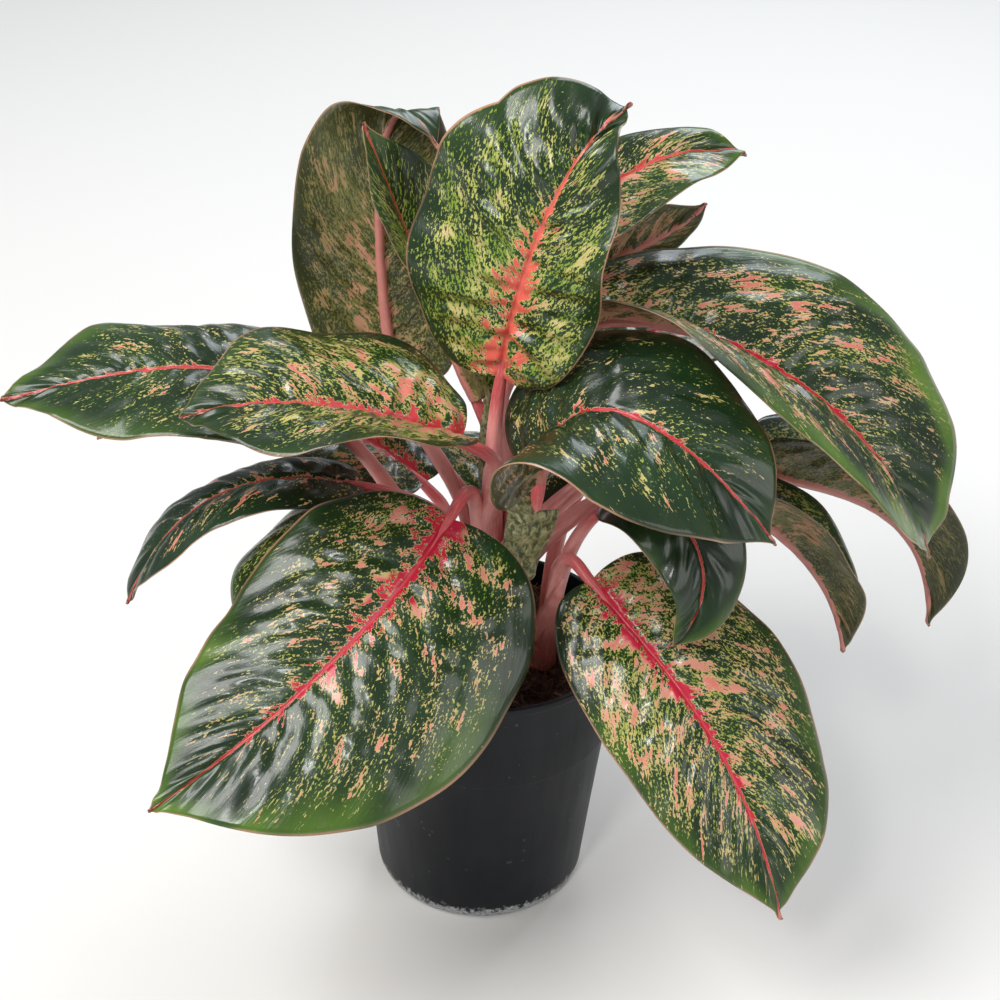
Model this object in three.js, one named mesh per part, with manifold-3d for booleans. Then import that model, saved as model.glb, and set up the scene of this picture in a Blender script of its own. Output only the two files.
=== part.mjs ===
// An aglaonema with red and yellow speckled leaves, standing in a plain nursery pot.
// Millimetres, +Z up. The origin is the middle of the pot's flat underside, and the
// plant's broad front looks along -Y. The leaf blades, the pink shoots, the soil and
// the pot are separate solids.

import * as THREE from 'three'
import { mergeVertices } from 'three/addons/utils/BufferGeometryUtils.js'
import Module from 'manifold-3d'

const wasm = await Module()
wasm.setup()

// Pot: outer radii and heights, wall and floor
const POT_HEIGHT = 130
const RIM_RADIUS = 60
const BAND_RADIUS = 57.4
const BAND_HEIGHT = 44
const FOOT_RADIUS = 48
const LIP = 0.8
const LIP_HEIGHT = 4
const STEP = 1.4
const WALL = 1.5
const FLOOR = 2.4
const FOOT_BEVEL = 4
const BEVEL_MIDDLE = 1.2
const INNER_BEVEL = 2
const RECESS = 1.6
const CENTRE_PAD = 11
const FOOT_RING = 6
const DRAIN_HOLES = 6
const DRAIN_RADIUS = 4.5
const DRAIN_CIRCLE = 27
const DRAIN_SIDES = 12
const POT_SEGMENTS = 36

// Soil: how far below the rim it stops, and the play round it
const SOIL_DROP = 13
const PLAY = 0.3
const SOIL_SEGMENTS = 36
const SOIL_RELIEF = 1.6
const SOIL_RINGS = [0.94, 0.8, 0.62, 0.42, 0.2]
const soilTop = POT_HEIGHT - SOIL_DROP

// Leaf blades: skin, how far the midrib stands out below at the base and what is left
// of it at the tip, and the short neck that a petiole ends at
const SKIN = 0.7
const MIDRIB = 2.8
const MIDRIB_AT_TIP = 0.15
const BARE_MIDRIB = 0.4
const NECK_RADIUS = 2.6
const NECK_LENGTH = 8
const NECK_DROP = 1
const TIP_WIDTH = 0.8

// The blade's outline: how early it is widest, how drawn out its tip is, how far its
// basal lobes reach back, and how much the side veins lean to the tip
const WIDEST = 0.75
const TIP_DRAW = 1.5
const LOBE = 0.1
const VEIN_LEAN = 1.3
const WAVE_START = [0.15, 0.55]

// The blade's grid: rows closer together near the base, and places across it
const BLADE_ROWS = 10
const ROW_SPACING = 1.4
const FIRST_ROW = 0.012
const ACROSS = [-1, -0.78, -0.46, -0.13, 0, 0.13, 0.46, 0.78, 1]

// Petioles: radius at the sheathed foot and at the neck, how fast they narrow, how far
// they run straight from each end, and how they lean before they rise
const SHEATH_RADIUS = 5.6
const PETIOLE_RADIUS = 2.7
const NARROWING = 0.6
const STRAIGHT = 0.4
const LEAN = 0.5
const RISE = 0.7
const PETIOLE_SIDES = 8
const PETIOLE_STEPS = 7

// Canes: the three cuttings that share the pot, each in its own hole in the soil
const HOLE_DEPTH = 30
const CANE_TOP = 0.85
const CANE_SIDES = 12
const SHOOTS = [
  { name: 'shoot_main', foot: [-4, 0], top: [2, -2, 192], radius: 8.5 },
  { name: 'shoot_left', foot: [-26, 10], top: [-24, 8, 150], radius: 6.5 },
  { name: 'shoot_right', foot: [24, -6], top: [26, -8, 136], radius: 6.5 },
]

// Leaf blades, each with four points on its midrib from neck to tip, the way its upper
// face looks along that line, its half width, how far that width is pulled to the base,
// and pairs for the left and right half, spaced along the blade: the share of the width,
// the fold up from the midrib and the curl down to the margin, in degrees. The margin
// waves by the height and number given. The petiole rises from the point called from.
const BLADES = [
  {
    name: 'blade_crown_front', shoot: 'shoot_main', from: [1, -8, 184],
    rib: [[3, -14, 265], [10, -19, 308], [25, -18, 351], [49, -2, 376]],
    face: [[-0.35, -0.95, 0.3], [-0.3, -0.85, 0.5], [-0.2, -0.5, 0.8]],
    half: 47, egg: 0.05, wide: [[0.95, 0.85], [1, 0.8], [1.08, 0.72], [1.12, 0.62], [1.95, 0.5], [3.2, 0.35]],
    fold: [[16, 14]], curl: [[20, 20]], wave: 3.5, waves: 4,
  },
  {
    name: 'blade_back_left', shoot: 'shoot_main', from: [-6, 6, 176],
    rib: [[-39, 38, 223], [-48, 49, 270], [-47, 47, 338], [-23, 24, 344]],
    face: [[0.3, 0.95, 0], [0.2, 0.95, 0.2], [0.3, -0.2, 0.95]],
    half: 38, egg: 0.1, wide: [[1, 1.08], [1, 0.98], [0.9, 0.5]],
    fold: [[8, 8]], curl: [[10, 30]], wave: 2, waves: 3,
  },
  {
    name: 'blade_young', shoot: 'shoot_main', from: [0, 3, 184],
    rib: [[-7, 18, 236], [-24, 26, 273], [-40, 27, 315], [-54, 24, 355]],
    face: [[0.5, -0.8, 0.3], [0.4, -0.8, 0.4]],
    half: 34, egg: 0.3, wide: [[0.4, 0.45], [0.6, 0.9], [0.7, 1]],
    fold: [[90, 30], [65, 20], [20, 10]], curl: [[30, 20]], wave: 1, waves: 2,
  },
  {
    name: 'blade_top_right', shoot: 'shoot_main', from: [6, 8, 184],
    rib: [[15, 46, 287], [46, 51, 320], [73, 59, 332], [103, 67, 329]],
    face: [[0, -0.5, 0.85], [0, -0.35, 0.95], [0, -0.5, 0.85]],
    half: 29, egg: 0.1, wide: [[0.7, 1]], fold: [[10, 15]], curl: [[30, 0]], wave: 2, waves: 3,
  },
  {
    name: 'blade_top_right_low', shoot: 'shoot_main', from: [7, 9, 176],
    rib: [[28, 55, 269], [53, 62, 284], [73, 69, 293], [89, 74, 304]],
    face: [[-0.2, 0.95, 0.4]],
    half: 21, egg: 0.3, fold: [[10, 10]], curl: [[10, 10]], wave: 1, waves: 2,
  },
  {
    name: 'blade_right_arch', shoot: 'shoot_main', from: [7, 0, 188],
    rib: [[17, 18, 260], [69, 8, 279], [135, -12, 255], [186, -18, 186]],
    face: [[0, -0.4, 0.92], [0.1, -0.6, 0.8], [0.5, -0.6, 0.5]],
    half: 62, egg: 0.1, wide: [[0.4, 0.55], [0.78, 0.8], [1.2, 0.85], [1.8, 0.9]],
    fold: [[15, 80], [15, 55], [10, 35]], curl: [[40, 20]], wave: 2, waves: 3,
  },
  {
    name: 'blade_right_dark', shoot: 'shoot_main', from: [8, -9, 172],
    rib: [[20, -32, 228], [42, -50, 271], [78, -66, 261], [111, -74, 227]],
    face: [[-0.1, -0.35, 0.95], [0.1, -0.6, 0.8], [0.4, -0.7, 0.5]],
    half: 50, egg: 0.3, wide: [[0.85, 1], [0.9, 1], [0.85, 1]],
    fold: [[15, 70], [10, 25], [10, 15]], curl: [[50, 10]], wave: 2, waves: 3,
  },
  {
    name: 'blade_right_hanging', shoot: 'shoot_right', from: [26, -8, 132],
    rib: [[50, -14, 207], [72, -30, 215], [88, -44, 194], [75, -56, 163]],
    face: [[0, -0.3, 0.95], [0.2, -0.7, 0.6], [0.4, -0.8, 0.3]],
    half: 21, egg: 0.3, fold: [[20, 20]], curl: [[30, 30]], wave: 2, waves: 3,
  },
  {
    name: 'blade_front_right', shoot: 'shoot_right', from: [26, -9, 124],
    rib: [[44, -22, 172], [71, -52, 155], [101, -82, 124], [126, -112, 68]],
    face: [[-0.1, -0.6, 0.8], [0.1, -0.7, 0.7], [0.3, -0.8, 0.5]],
    half: 50, egg: 0.15, wide: [[1, 0.78], [1, 0.78], [0.9, 0.82]],
    fold: [[8, 8]], curl: [[40, 40]], wave: 2, waves: 3,
  },
  {
    name: 'blade_front_left', shoot: 'shoot_main', from: [-2, -7, 156],
    rib: [[-16, -28, 205], [-45, -66, 180], [-85, -100, 153], [-129, -124, 126]],
    face: [[0.2, -0.5, 0.85], [0, -0.6, 0.8], [-0.3, -0.6, 0.7]],
    half: 62, egg: 0.3, wide: [[1, 0.85], [1.1, 0.82], [1, 0.84]],
    fold: [[10, 10]], curl: [[40, 40]], wave: 2, waves: 3,
  },
  {
    name: 'blade_left_near', shoot: 'shoot_main', from: [-2, -6, 178],
    rib: [[-12, -24, 240], [-49, -34, 258], [-86, -42, 265], [-121, -46, 259]],
    face: [[0, -0.5, 0.85]],
    half: 45, egg: 0.1, wide: [[0.85, 1.05], [0.85, 1]],
    fold: [[65, 10], [40, 10], [20, 10]], curl: [[10, 50]], wave: 3, waves: 3,
  },
  {
    name: 'blade_left_far', shoot: 'shoot_left', from: [-26, 14, 144],
    rib: [[-72, 18, 228], [-112, 10, 251], [-160, 4, 249], [-203, -2, 239]],
    face: [[0, -0.3, 0.95]],
    half: 40, egg: 0.1, wide: [[1.1, 1], [1, 1.05], [0.8, 1.1]],
    fold: [[10, 14]], curl: [[20, 60]], wave: 3, waves: 3,
  },
  {
    name: 'blade_left_low', shoot: 'shoot_main', from: [-6, -3, 166],
    rib: [[-55, 4, 200], [-94, -2, 205], [-128, -10, 191], [-154, -20, 151]],
    face: [[0, -0.3, 0.95], [-0.3, -0.3, 0.9], [-0.6, -0.4, 0.6]],
    half: 29, egg: 0.1, wide: [[0.8, 1]], fold: [[20, 0]], curl: [[20, 70]], wave: 1, waves: 3,
  },
  {
    name: 'blade_left_behind', shoot: 'shoot_main', from: [-8, -6, 146],
    rib: [[-42, -19, 191], [-68, -29, 191], [-88, -41, 178], [-100, -53, 152]],
    face: [[0, -0.4, 0.9], [-0.4, -0.5, 0.8], [-0.6, -0.6, 0.5]],
    half: 34, egg: 0.3, fold: [[10, 10]], curl: [[30, 60]], wave: 1, waves: 3,
  },
  {
    name: 'blade_right_far', shoot: 'shoot_main', from: [8, 7, 158],
    rib: [[112, 40, 195], [152, 46, 180], [188, 46, 159], [206, 40, 110]],
    face: [[0, 0.2, 0.95], [0.3, 0.1, 0.9], [0.8, 0, 0.5]],
    half: 34, egg: 0.3, fold: [[60, 65]], curl: [[20, 20]], wave: 1, waves: 3,
  },
  {
    name: 'blade_right_low', shoot: 'shoot_main', from: [8, 3, 150],
    rib: [[106, 9, 194], [129, 11, 176], [149, 9, 152], [160, 4, 120]],
    face: [[0, 0.1, 0.95], [0.4, 0.1, 0.9], [0.8, 0, 0.4]],
    half: 26, egg: 0.3, fold: [[50, 60]], curl: [[20, 30]], wave: 1, waves: 3,
  },
  {
    name: 'blade_rear_high', shoot: 'shoot_main', from: [1, 8, 168],
    rib: [[2, 50, 236], [-4, 90, 266], [-16, 128, 268], [-30, 160, 244]],
    face: [[0, 0.3, 0.95], [0, 0.5, 0.85]],
    half: 44, egg: 0.3, fold: [[15, 15]], curl: [[35, 35]], wave: 2, waves: 3,
  },
  {
    name: 'blade_rear_right', shoot: 'shoot_main', from: [9, 7, 168],
    rib: [[32, 32, 224], [68, 62, 246], [100, 92, 244], [128, 118, 216]],
    face: [[0.1, 0.3, 0.95], [0.3, 0.5, 0.85]],
    half: 40, egg: 0.3, fold: [[15, 15]], curl: [[35, 35]], wave: 2, waves: 3,
  },
  {
    name: 'blade_rear_left', shoot: 'shoot_left', from: [-24, 10, 140],
    rib: [[-30, 44, 178], [-77, 60, 200], [-130, 62, 204], [-177, 50, 191]],
    face: [[-0.1, 0.2, 0.95], [-0.4, 0.2, 0.85]],
    half: 34, egg: 0.3, fold: [[0, 25]], curl: [[35, 35]], wave: 2, waves: 3,
  },
  {
    name: 'blade_rear_low_right', shoot: 'shoot_right', from: [27, -4, 128],
    rib: [[44, 50, 180], [72, 84, 196], [98, 116, 184], [118, 140, 150]],
    face: [[0.1, 0.2, 0.95], [0.4, 0.4, 0.8]],
    half: 38, egg: 0.3, fold: [[15, 15]], curl: [[35, 35]], wave: 2, waves: 3,
  },
  {
    name: 'blade_rear_low', shoot: 'shoot_main', from: [-2, 8, 138],
    rib: [[8, 44, 166], [6, 82, 174], [2, 120, 156], [-4, 146, 116]],
    face: [[0, 0.2, 0.95], [0, 0.7, 0.7]],
    half: 34, egg: 0.3, fold: [[15, 15]], curl: [[35, 35]], wave: 2, waves: 3,
  },
]

// Bare sheaths that stand in the crown without a blade, fused to the main shoot
const SHEATHS = [
  {
    name: 'sheath_old', rib: [[12, -12, 160], [14, -19, 186], [11, -22, 206], [9, -18, 219]],
    face: [[0.2, -0.9, 0.2], [0.8, -0.6, 0.2]],
    half: 9, egg: -0.2, fold: [[40, -30]], curl: [[10, 10]], wave: 1, waves: 2,
  },
  {
    name: 'sheath_young', rib: [[1, 2, 196], [0, 3, 222], [-1, 3, 238], [-2, 2, 251]],
    face: [[0.5, -0.9, 0.1]],
    half: 5, egg: -0.2, fold: [[30, 30]], curl: [[10, 10]], wave: 0, waves: 2,
  },
]

const COLOURS = {
  pot: { color: 0x17191b, roughness: 0.55 },
  soil: { color: 0x2a1d17, roughness: 0.95 },
  shoot: { color: 0xd98f8b, roughness: 0.4 },
  blade: { color: 0x23421f, roughness: 0.3 },
}

const vector = (point) => new THREE.Vector3(...point)
const radians = THREE.MathUtils.degToRad

// A value that runs evenly through a list from one end of the blade (0) to the other (1)
function along(list, part, pick) {
  const place = Math.min(Math.max(part, 0), 1) * (list.length - 1)
  const first = Math.min(Math.floor(place), list.length - 2)
  if (list.length === 1) return pick(list[0])
  return THREE.MathUtils.lerp(pick(list[first]), pick(list[first + 1]), place - first)
}

// The cubic curve that passes through four points at its ends and thirds
function ribCurve(rib) {
  const [a, b, c, d] = rib.map(vector)
  const mix = (wa, wb, wc, wd) => new THREE.Vector3()
    .addScaledVector(a, wa).addScaledVector(b, wb).addScaledVector(c, wc).addScaledVector(d, wd)
  return new THREE.CubicBezierCurve3(
    a, mix(-5 / 6, 3, -1.5, 1 / 3), mix(1 / 3, -1.5, 3, -5 / 6), d)
}

// Where the midrib is at a distance from the neck, with the directions along it, out of
// the upper face and to its right. Before the neck it runs on straight.
function ribFrame(leaf, distance) {
  const length = leaf.curve.getLength()
  const part = Math.min(Math.max(distance / length, 0), 1)
  const forward = leaf.curve.getTangentAt(part)
  const point = leaf.curve.getPointAt(part)
  point.addScaledVector(forward, distance - part * length)
  const up = new THREE.Vector3(...[0, 1, 2].map((axis) => along(leaf.face, part, (f) => f[axis])))
  up.addScaledVector(forward, -up.dot(forward)).normalize()
  return { point, forward, up, right: forward.clone().cross(up) }
}

// A point of the blade's upper face. Row runs from neck to tip and side from the left
// margin (-1) to the right (1). The outline is an ellipse pulled to an egg and a drawn-out
// tip, and rows lean forward as the side veins do. Each half rises from the midrib by its
// fold and bends back down by its curl, as an arc, and the margin waves.
function bladePoint(leaf, row, side) {
  const length = leaf.curve.getLength()
  const reach = Math.abs(side)
  const hand = side < 0 ? 0 : 1
  const angle = Math.PI * row ** WIDEST
  const ahead = (1 - Math.cos(angle)) / 2
  const sine = Math.max(Math.sin(angle), 0)
  const outline = sine ** (1 + TIP_DRAW * ahead ** 4) * (1 + leaf.egg * Math.cos(angle))
  const margin = ahead - LOBE * sine * (1 - ahead) ** 3
  const distance = length * (row + (margin - row) * reach ** VEIN_LEAN)
  const wide = along(leaf.wide ?? [[1, 1]], row, (w) => w[hand])
  const spread = Math.max(leaf.half * outline * wide, TIP_WIDTH) * reach
  const part = distance / length
  const fold = radians(along(leaf.fold, part, (f) => f[hand]))
  const curl = radians(along(leaf.curl, part, (c) => c[hand])) || 0.001
  const end = fold - curl * spread / leaf.half
  const out = (Math.sin(fold) - Math.sin(end)) / curl * leaf.half
  const lift = (Math.cos(end) - Math.cos(fold)) / curl * leaf.half
  const turns = leaf.waves * row + WAVE_START[hand]
  const height = leaf.wave * reach ** 2 * Math.sqrt(Math.sin(Math.PI * row))
  const wave = height * Math.sin(2 * Math.PI * turns)
  const { point, up, right } = ribFrame(leaf, distance)
  return point
    .addScaledVector(right, Math.sign(side) * (out - wave * Math.sin(end)))
    .addScaledVector(up, lift + wave * Math.cos(end))
}

// Two grids of points, the upper and lower face, closed all round by a rim
function closedSheet(upper, lower) {
  const rows = upper.length
  const columns = upper[0].length
  const positions = [...upper.flat(), ...lower.flat()].flatMap((p) => [p.x, p.y, p.z])
  const above = (i, j) => i * columns + j
  const below = (i, j) => rows * columns + i * columns + j
  const index = []
  const rim = (a, b) => {
    index.push(above(...a), above(...b), below(...b))
    index.push(above(...a), below(...b), below(...a))
  }
  for (let i = 0; i < rows - 1; i++) {
    for (let j = 0; j < columns - 1; j++) {
      index.push(above(i, j), above(i, j + 1), above(i + 1, j + 1))
      index.push(above(i, j), above(i + 1, j + 1), above(i + 1, j))
      index.push(below(i, j), below(i + 1, j + 1), below(i, j + 1))
      index.push(below(i, j), below(i + 1, j), below(i + 1, j + 1))
    }
    rim([i, 0], [i + 1, 0])
    rim([i + 1, columns - 1], [i, columns - 1])
  }
  for (let j = 0; j < columns - 1; j++) {
    rim([0, j + 1], [0, j])
    rim([rows - 1, j], [rows - 1, j + 1])
  }
  const geometry = new THREE.BufferGeometry()
  geometry.setAttribute('position', new THREE.Float32BufferAttribute(positions, 3))
  geometry.setIndex(index)
  return geometry
}

// The way a grid of points faces at one of them
function gridNormal(grid, i, j) {
  const before = grid[Math.max(i - 1, 0)][j]
  const after = grid[Math.min(i + 1, grid.length - 1)][j]
  const left = grid[i][Math.max(j - 1, 0)]
  const right = grid[i][Math.min(j + 1, grid[i].length - 1)]
  return right.clone().sub(left).cross(after.clone().sub(before)).normalize()
}

// A blade with its skin, its midrib standing out below, and its round neck
function bladeGeometry(leaf, neckLength) {
  const spaced = (_, i) => Math.max((i / BLADE_ROWS) ** ROW_SPACING, FIRST_ROW)
  const rows = Array.from({ length: BLADE_ROWS + 1 }, spaced)
  const upper = rows.map((row) => ACROSS.map((side) => bladePoint(leaf, row, side)))
  const lower = upper.map((line, i) => line.map((point, j) => {
    const rib = ACROSS[j] === 0 ? leaf.midrib * THREE.MathUtils.lerp(1, MIDRIB_AT_TIP, rows[i]) : 0
    return point.clone().addScaledVector(gridNormal(upper, i, j), -SKIN - rib)
  }))
  for (const distance of [-0.3 * neckLength, -neckLength]) {
    const { point, up, right } = ribFrame(leaf, distance)
    const flat = SKIN / 2
    const height = (side) => flat + (NECK_RADIUS - flat) * Math.sqrt(1 - side * side)
    const ring = (way) => ACROSS.map((side) => point.clone()
      .addScaledVector(right, NECK_RADIUS * side)
      .addScaledVector(up, way * height(side) - NECK_DROP))
    upper.unshift(ring(1))
    lower.unshift(ring(-1))
  }
  return closedSheet(upper, lower)
}

// A round tube along a curve that narrows from its first radius to its last
function taperedTube(curve, first, last, sides, steps) {
  const frames = curve.computeFrenetFrames(steps, false)
  const positions = []
  const index = []
  for (let i = 0; i <= steps; i++) {
    const centre = curve.getPointAt(i / steps)
    const radius = THREE.MathUtils.lerp(first, last, (i / steps) ** NARROWING)
    for (let j = 0; j < sides; j++) {
      const angle = 2 * Math.PI * j / sides
      const point = centre.clone()
        .addScaledVector(frames.normals[i], radius * Math.cos(angle))
        .addScaledVector(frames.binormals[i], radius * Math.sin(angle))
      positions.push(point.x, point.y, point.z)
      const [a, b] = [i * sides + j, i * sides + (j + 1) % sides]
      if (i < steps) index.push(a, b, b + sides, a, b + sides, a + sides)
    }
  }
  for (const [row, end] of [[0, curve.getPointAt(0)], [steps, curve.getPointAt(1)]]) {
    const middle = positions.length / 3
    positions.push(end.x, end.y, end.z)
    for (let j = 0; j < sides; j++) {
      const [a, b] = [row * sides + j, row * sides + (j + 1) % sides]
      index.push(middle, ...(row === 0 ? [b, a] : [a, b]))
    }
  }
  const geometry = new THREE.BufferGeometry()
  geometry.setAttribute('position', new THREE.Float32BufferAttribute(positions, 3))
  geometry.setIndex(index)
  return geometry
}

// Geometry to solid and back, for joins and cuts
function solid(geometry) {
  const bare = geometry.clone()
  bare.deleteAttribute('normal')
  bare.deleteAttribute('uv')
  const merged = mergeVertices(bare, 1e-4)
  const vertProperties = new Float32Array(merged.attributes.position.array)
  const triVerts = new Uint32Array(merged.index.array)
  return new wasm.Manifold(new wasm.Mesh({ numProp: 3, vertProperties, triVerts }))
}

function geometryOf(body) {
  const mesh = body.getMesh()
  const geometry = new THREE.BufferGeometry()
  geometry.setAttribute('position', new THREE.BufferAttribute(mesh.vertProperties.slice(), 3))
  geometry.setIndex(new THREE.BufferAttribute(mesh.triVerts.slice(), 1))
  return geometry
}

const join = (bodies) => bodies.reduce((whole, body) => whole.add(body))
const cut = (body, tools) => tools.reduce((rest, tool) => rest.subtract(tool), body)

// The petiole of a blade: up from the shoot, then over into the line of the midrib,
// ending just short of the blade's neck
function petiole(leaf) {
  const { point: end, forward } = ribFrame(leaf, -NECK_LENGTH - PLAY)
  end.addScaledVector(ribFrame(leaf, 0).up, -NECK_DROP)
  const start = vector(leaf.from)
  const pull = start.distanceTo(end) * STRAIGHT
  const lean = end.clone().sub(start).setLength(LEAN).add(vector([0, 0, RISE])).normalize()
  const curve = new THREE.CubicBezierCurve3(
    start,
    start.clone().addScaledVector(lean, pull),
    end.clone().addScaledVector(forward, -pull),
    end)
  return taperedTube(curve, SHEATH_RADIUS, PETIOLE_RADIUS, PETIOLE_SIDES, PETIOLE_STEPS)
}

// A cane from the bottom of its hole to the crown
function cane({ foot, top, radius }) {
  const bottom = vector([...foot, soilTop - HOLE_DEPTH + PLAY])
  const line = new THREE.LineCurve3(bottom, vector(top))
  return taperedTube(line, radius, radius * CANE_TOP, CANE_SIDES, 4)
}

function shootGeometry(shoot) {
  const grown = BLADES.filter((leaf) => leaf.shoot === shoot.name).map(petiole)
  const bare = shoot.name === 'shoot_main' ? SHEATHS.map((leaf) => bladeGeometry(leaf, NECK_LENGTH / 2)) : []
  return geometryOf(join([cane(shoot), ...grown, ...bare].map(solid)))
}

// The pot, turned round its axis: floor with a centre pad and a foot ring, wall with a
// wider band below the rim, and a thin lip
function potGeometry() {
  const bandFoot = POT_HEIGHT - BAND_HEIGHT
  const recessOut = FOOT_RADIUS - FOOT_BEVEL - FOOT_RING
  const outline = [
    [0, 0], [CENTRE_PAD, 0], [CENTRE_PAD + 1, RECESS], [recessOut, RECESS], [recessOut + 1, 0],
    [FOOT_RADIUS - FOOT_BEVEL, 0], [FOOT_RADIUS - BEVEL_MIDDLE, BEVEL_MIDDLE],
    [FOOT_RADIUS, FOOT_BEVEL],
    [BAND_RADIUS - STEP, bandFoot - 1], [BAND_RADIUS, bandFoot],
    [RIM_RADIUS - LIP, POT_HEIGHT - LIP_HEIGHT], [RIM_RADIUS, POT_HEIGHT - LIP_HEIGHT + LIP],
    [RIM_RADIUS, POT_HEIGHT], [RIM_RADIUS - WALL - LIP, POT_HEIGHT],
    [BAND_RADIUS - WALL - STEP / 2, bandFoot + 1], [FOOT_RADIUS - WALL, RECESS + FLOOR + INNER_BEVEL],
    [FOOT_RADIUS - WALL - INNER_BEVEL, RECESS + FLOOR], [0, RECESS + FLOOR],
  ]
  const shell = new THREE.LatheGeometry(outline.map(([r, z]) => new THREE.Vector2(r, z)), POT_SEGMENTS)
  shell.rotateX(Math.PI / 2)
  const holes = Array.from({ length: DRAIN_HOLES }, (_, i) => {
    const angle = 2 * Math.PI * (i + 0.5) / DRAIN_HOLES
    const hole = new THREE.CylinderGeometry(DRAIN_RADIUS, DRAIN_RADIUS, 4 * FLOOR, DRAIN_SIDES)
    hole.rotateX(Math.PI / 2)
    return hole.translate(DRAIN_CIRCLE * Math.cos(angle), DRAIN_CIRCLE * Math.sin(angle), RECESS)
  })
  return geometryOf(cut(solid(shell), holes.map(solid)))
}

// The soil: it fills the pot to a lumpy top, with a plain hole for each cane
function soilGeometry() {
  const floor = RECESS + FLOOR + PLAY
  const slope = (BAND_RADIUS - FOOT_RADIUS - STEP) / (POT_HEIGHT - BAND_HEIGHT - FOOT_BEVEL)
  const edge = (z) => FOOT_RADIUS - WALL - 1 - PLAY + slope * (z - floor)
  const outline = [
    [0, floor], [edge(floor) - INNER_BEVEL, floor],
    [edge(floor + INNER_BEVEL), floor + INNER_BEVEL], [edge(soilTop), soilTop],
    ...SOIL_RINGS.map((share) => [share * edge(soilTop), soilTop]), [0, soilTop],
  ]
  const body = new THREE.LatheGeometry(outline.map(([r, z]) => new THREE.Vector2(r, z)), SOIL_SEGMENTS)
  body.rotateX(Math.PI / 2)
  const places = body.attributes.position
  for (let i = 0; i < places.count; i++) {
    const [x, y, z] = [places.getX(i), places.getY(i), places.getZ(i)]
    const lumps = Math.sin(0.31 * x + 1.1) * Math.cos(0.27 * y) + 0.6 * Math.sin(0.53 * x - 0.61 * y)
    const inside = Math.min(1, (edge(soilTop) - Math.hypot(x, y)) / 6)
    if (z > soilTop - 0.1) places.setZ(i, z + SOIL_RELIEF * inside * lumps)
  }
  const holes = SHOOTS.map(({ foot, top, radius }) => {
    const line = new THREE.LineCurve3(vector([...foot, soilTop - HOLE_DEPTH]), vector(top))
    return taperedTube(line, radius + PLAY, radius + PLAY, CANE_SIDES, 1)
  })
  return geometryOf(cut(solid(body), holes.map(solid)))
}

function part(name, geometry, { color, roughness }) {
  const material = new THREE.MeshStandardMaterial({ color, roughness, metalness: 0 })
  const mesh = new THREE.Mesh(geometry, material)
  mesh.name = name
  return mesh
}

for (const leaf of [...BLADES, ...SHEATHS]) {
  leaf.curve = ribCurve(leaf.rib)
  leaf.midrib = leaf.shoot ? MIDRIB : BARE_MIDRIB
}

const group = new THREE.Group()
group.add(part('pot', potGeometry(), COLOURS.pot))
group.add(part('soil', soilGeometry(), COLOURS.soil))
for (const shoot of SHOOTS) group.add(part(shoot.name, shootGeometry(shoot), COLOURS.shoot))
for (const leaf of BLADES) group.add(part(leaf.name, bladeGeometry(leaf, NECK_LENGTH), COLOURS.blade))

export default group
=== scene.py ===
from math import radians

import bpy
import numpy as np
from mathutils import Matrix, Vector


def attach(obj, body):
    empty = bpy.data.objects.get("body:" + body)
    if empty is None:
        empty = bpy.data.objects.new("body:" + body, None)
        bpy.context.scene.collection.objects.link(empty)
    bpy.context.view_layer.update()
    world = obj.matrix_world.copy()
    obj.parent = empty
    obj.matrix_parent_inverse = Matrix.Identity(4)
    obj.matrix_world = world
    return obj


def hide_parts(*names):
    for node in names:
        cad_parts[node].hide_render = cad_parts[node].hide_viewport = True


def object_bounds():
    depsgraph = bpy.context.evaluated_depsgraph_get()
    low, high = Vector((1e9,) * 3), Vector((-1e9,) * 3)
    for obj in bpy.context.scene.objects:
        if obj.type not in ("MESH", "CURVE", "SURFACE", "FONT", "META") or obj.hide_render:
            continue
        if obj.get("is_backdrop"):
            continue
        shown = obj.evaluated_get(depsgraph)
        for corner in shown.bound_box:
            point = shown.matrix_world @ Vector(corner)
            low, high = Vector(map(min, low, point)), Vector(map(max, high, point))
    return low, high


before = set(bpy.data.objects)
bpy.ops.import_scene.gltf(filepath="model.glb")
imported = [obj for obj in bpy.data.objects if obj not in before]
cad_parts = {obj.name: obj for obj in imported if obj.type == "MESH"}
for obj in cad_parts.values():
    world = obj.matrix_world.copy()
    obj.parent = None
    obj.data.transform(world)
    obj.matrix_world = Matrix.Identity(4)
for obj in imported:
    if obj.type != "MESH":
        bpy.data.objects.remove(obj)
cad_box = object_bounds()


# Camera: it stands 0.7 m in front of the pot and looks down on the plant, turned a
# touch about its own axis so that the pot leans to the right.
lens = bpy.data.cameras.new("lens")
lens.sensor_width = 36
lens.lens = 70.06
lens.clip_start, lens.clip_end = 0.02, 60
camera = bpy.data.objects.new("camera", lens)
camera.location = (0.0045, -0.7, 0.638)
camera.rotation_mode = "ZYX"
camera.rotation_euler = (radians(90 - 32.2), 0, radians(1.84))
bpy.context.collection.objects.link(camera)
bpy.context.scene.camera = camera
bpy.context.scene.view_settings.view_transform = "Standard"
bpy.context.scene.view_settings.exposure = -0.35


# Floor and light: a plain pale floor, one large soft window of light above to the left,
# a cooler one behind the plant, a small one that glints on the leaves, and a weak fill.
def node(tree, kind, inputs=(), **settings):
    """A shader node with its settings, its inputs joined to sockets or set to values."""
    made = tree.nodes.new("ShaderNode" + kind)
    for key, value in settings.items():
        setattr(made, key, value)
    for key, value in dict(inputs).items():
        if isinstance(value, bpy.types.NodeSocket):
            tree.links.new(value, made.inputs[key])
        else:
            made.inputs[key].default_value = value
    return made


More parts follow.
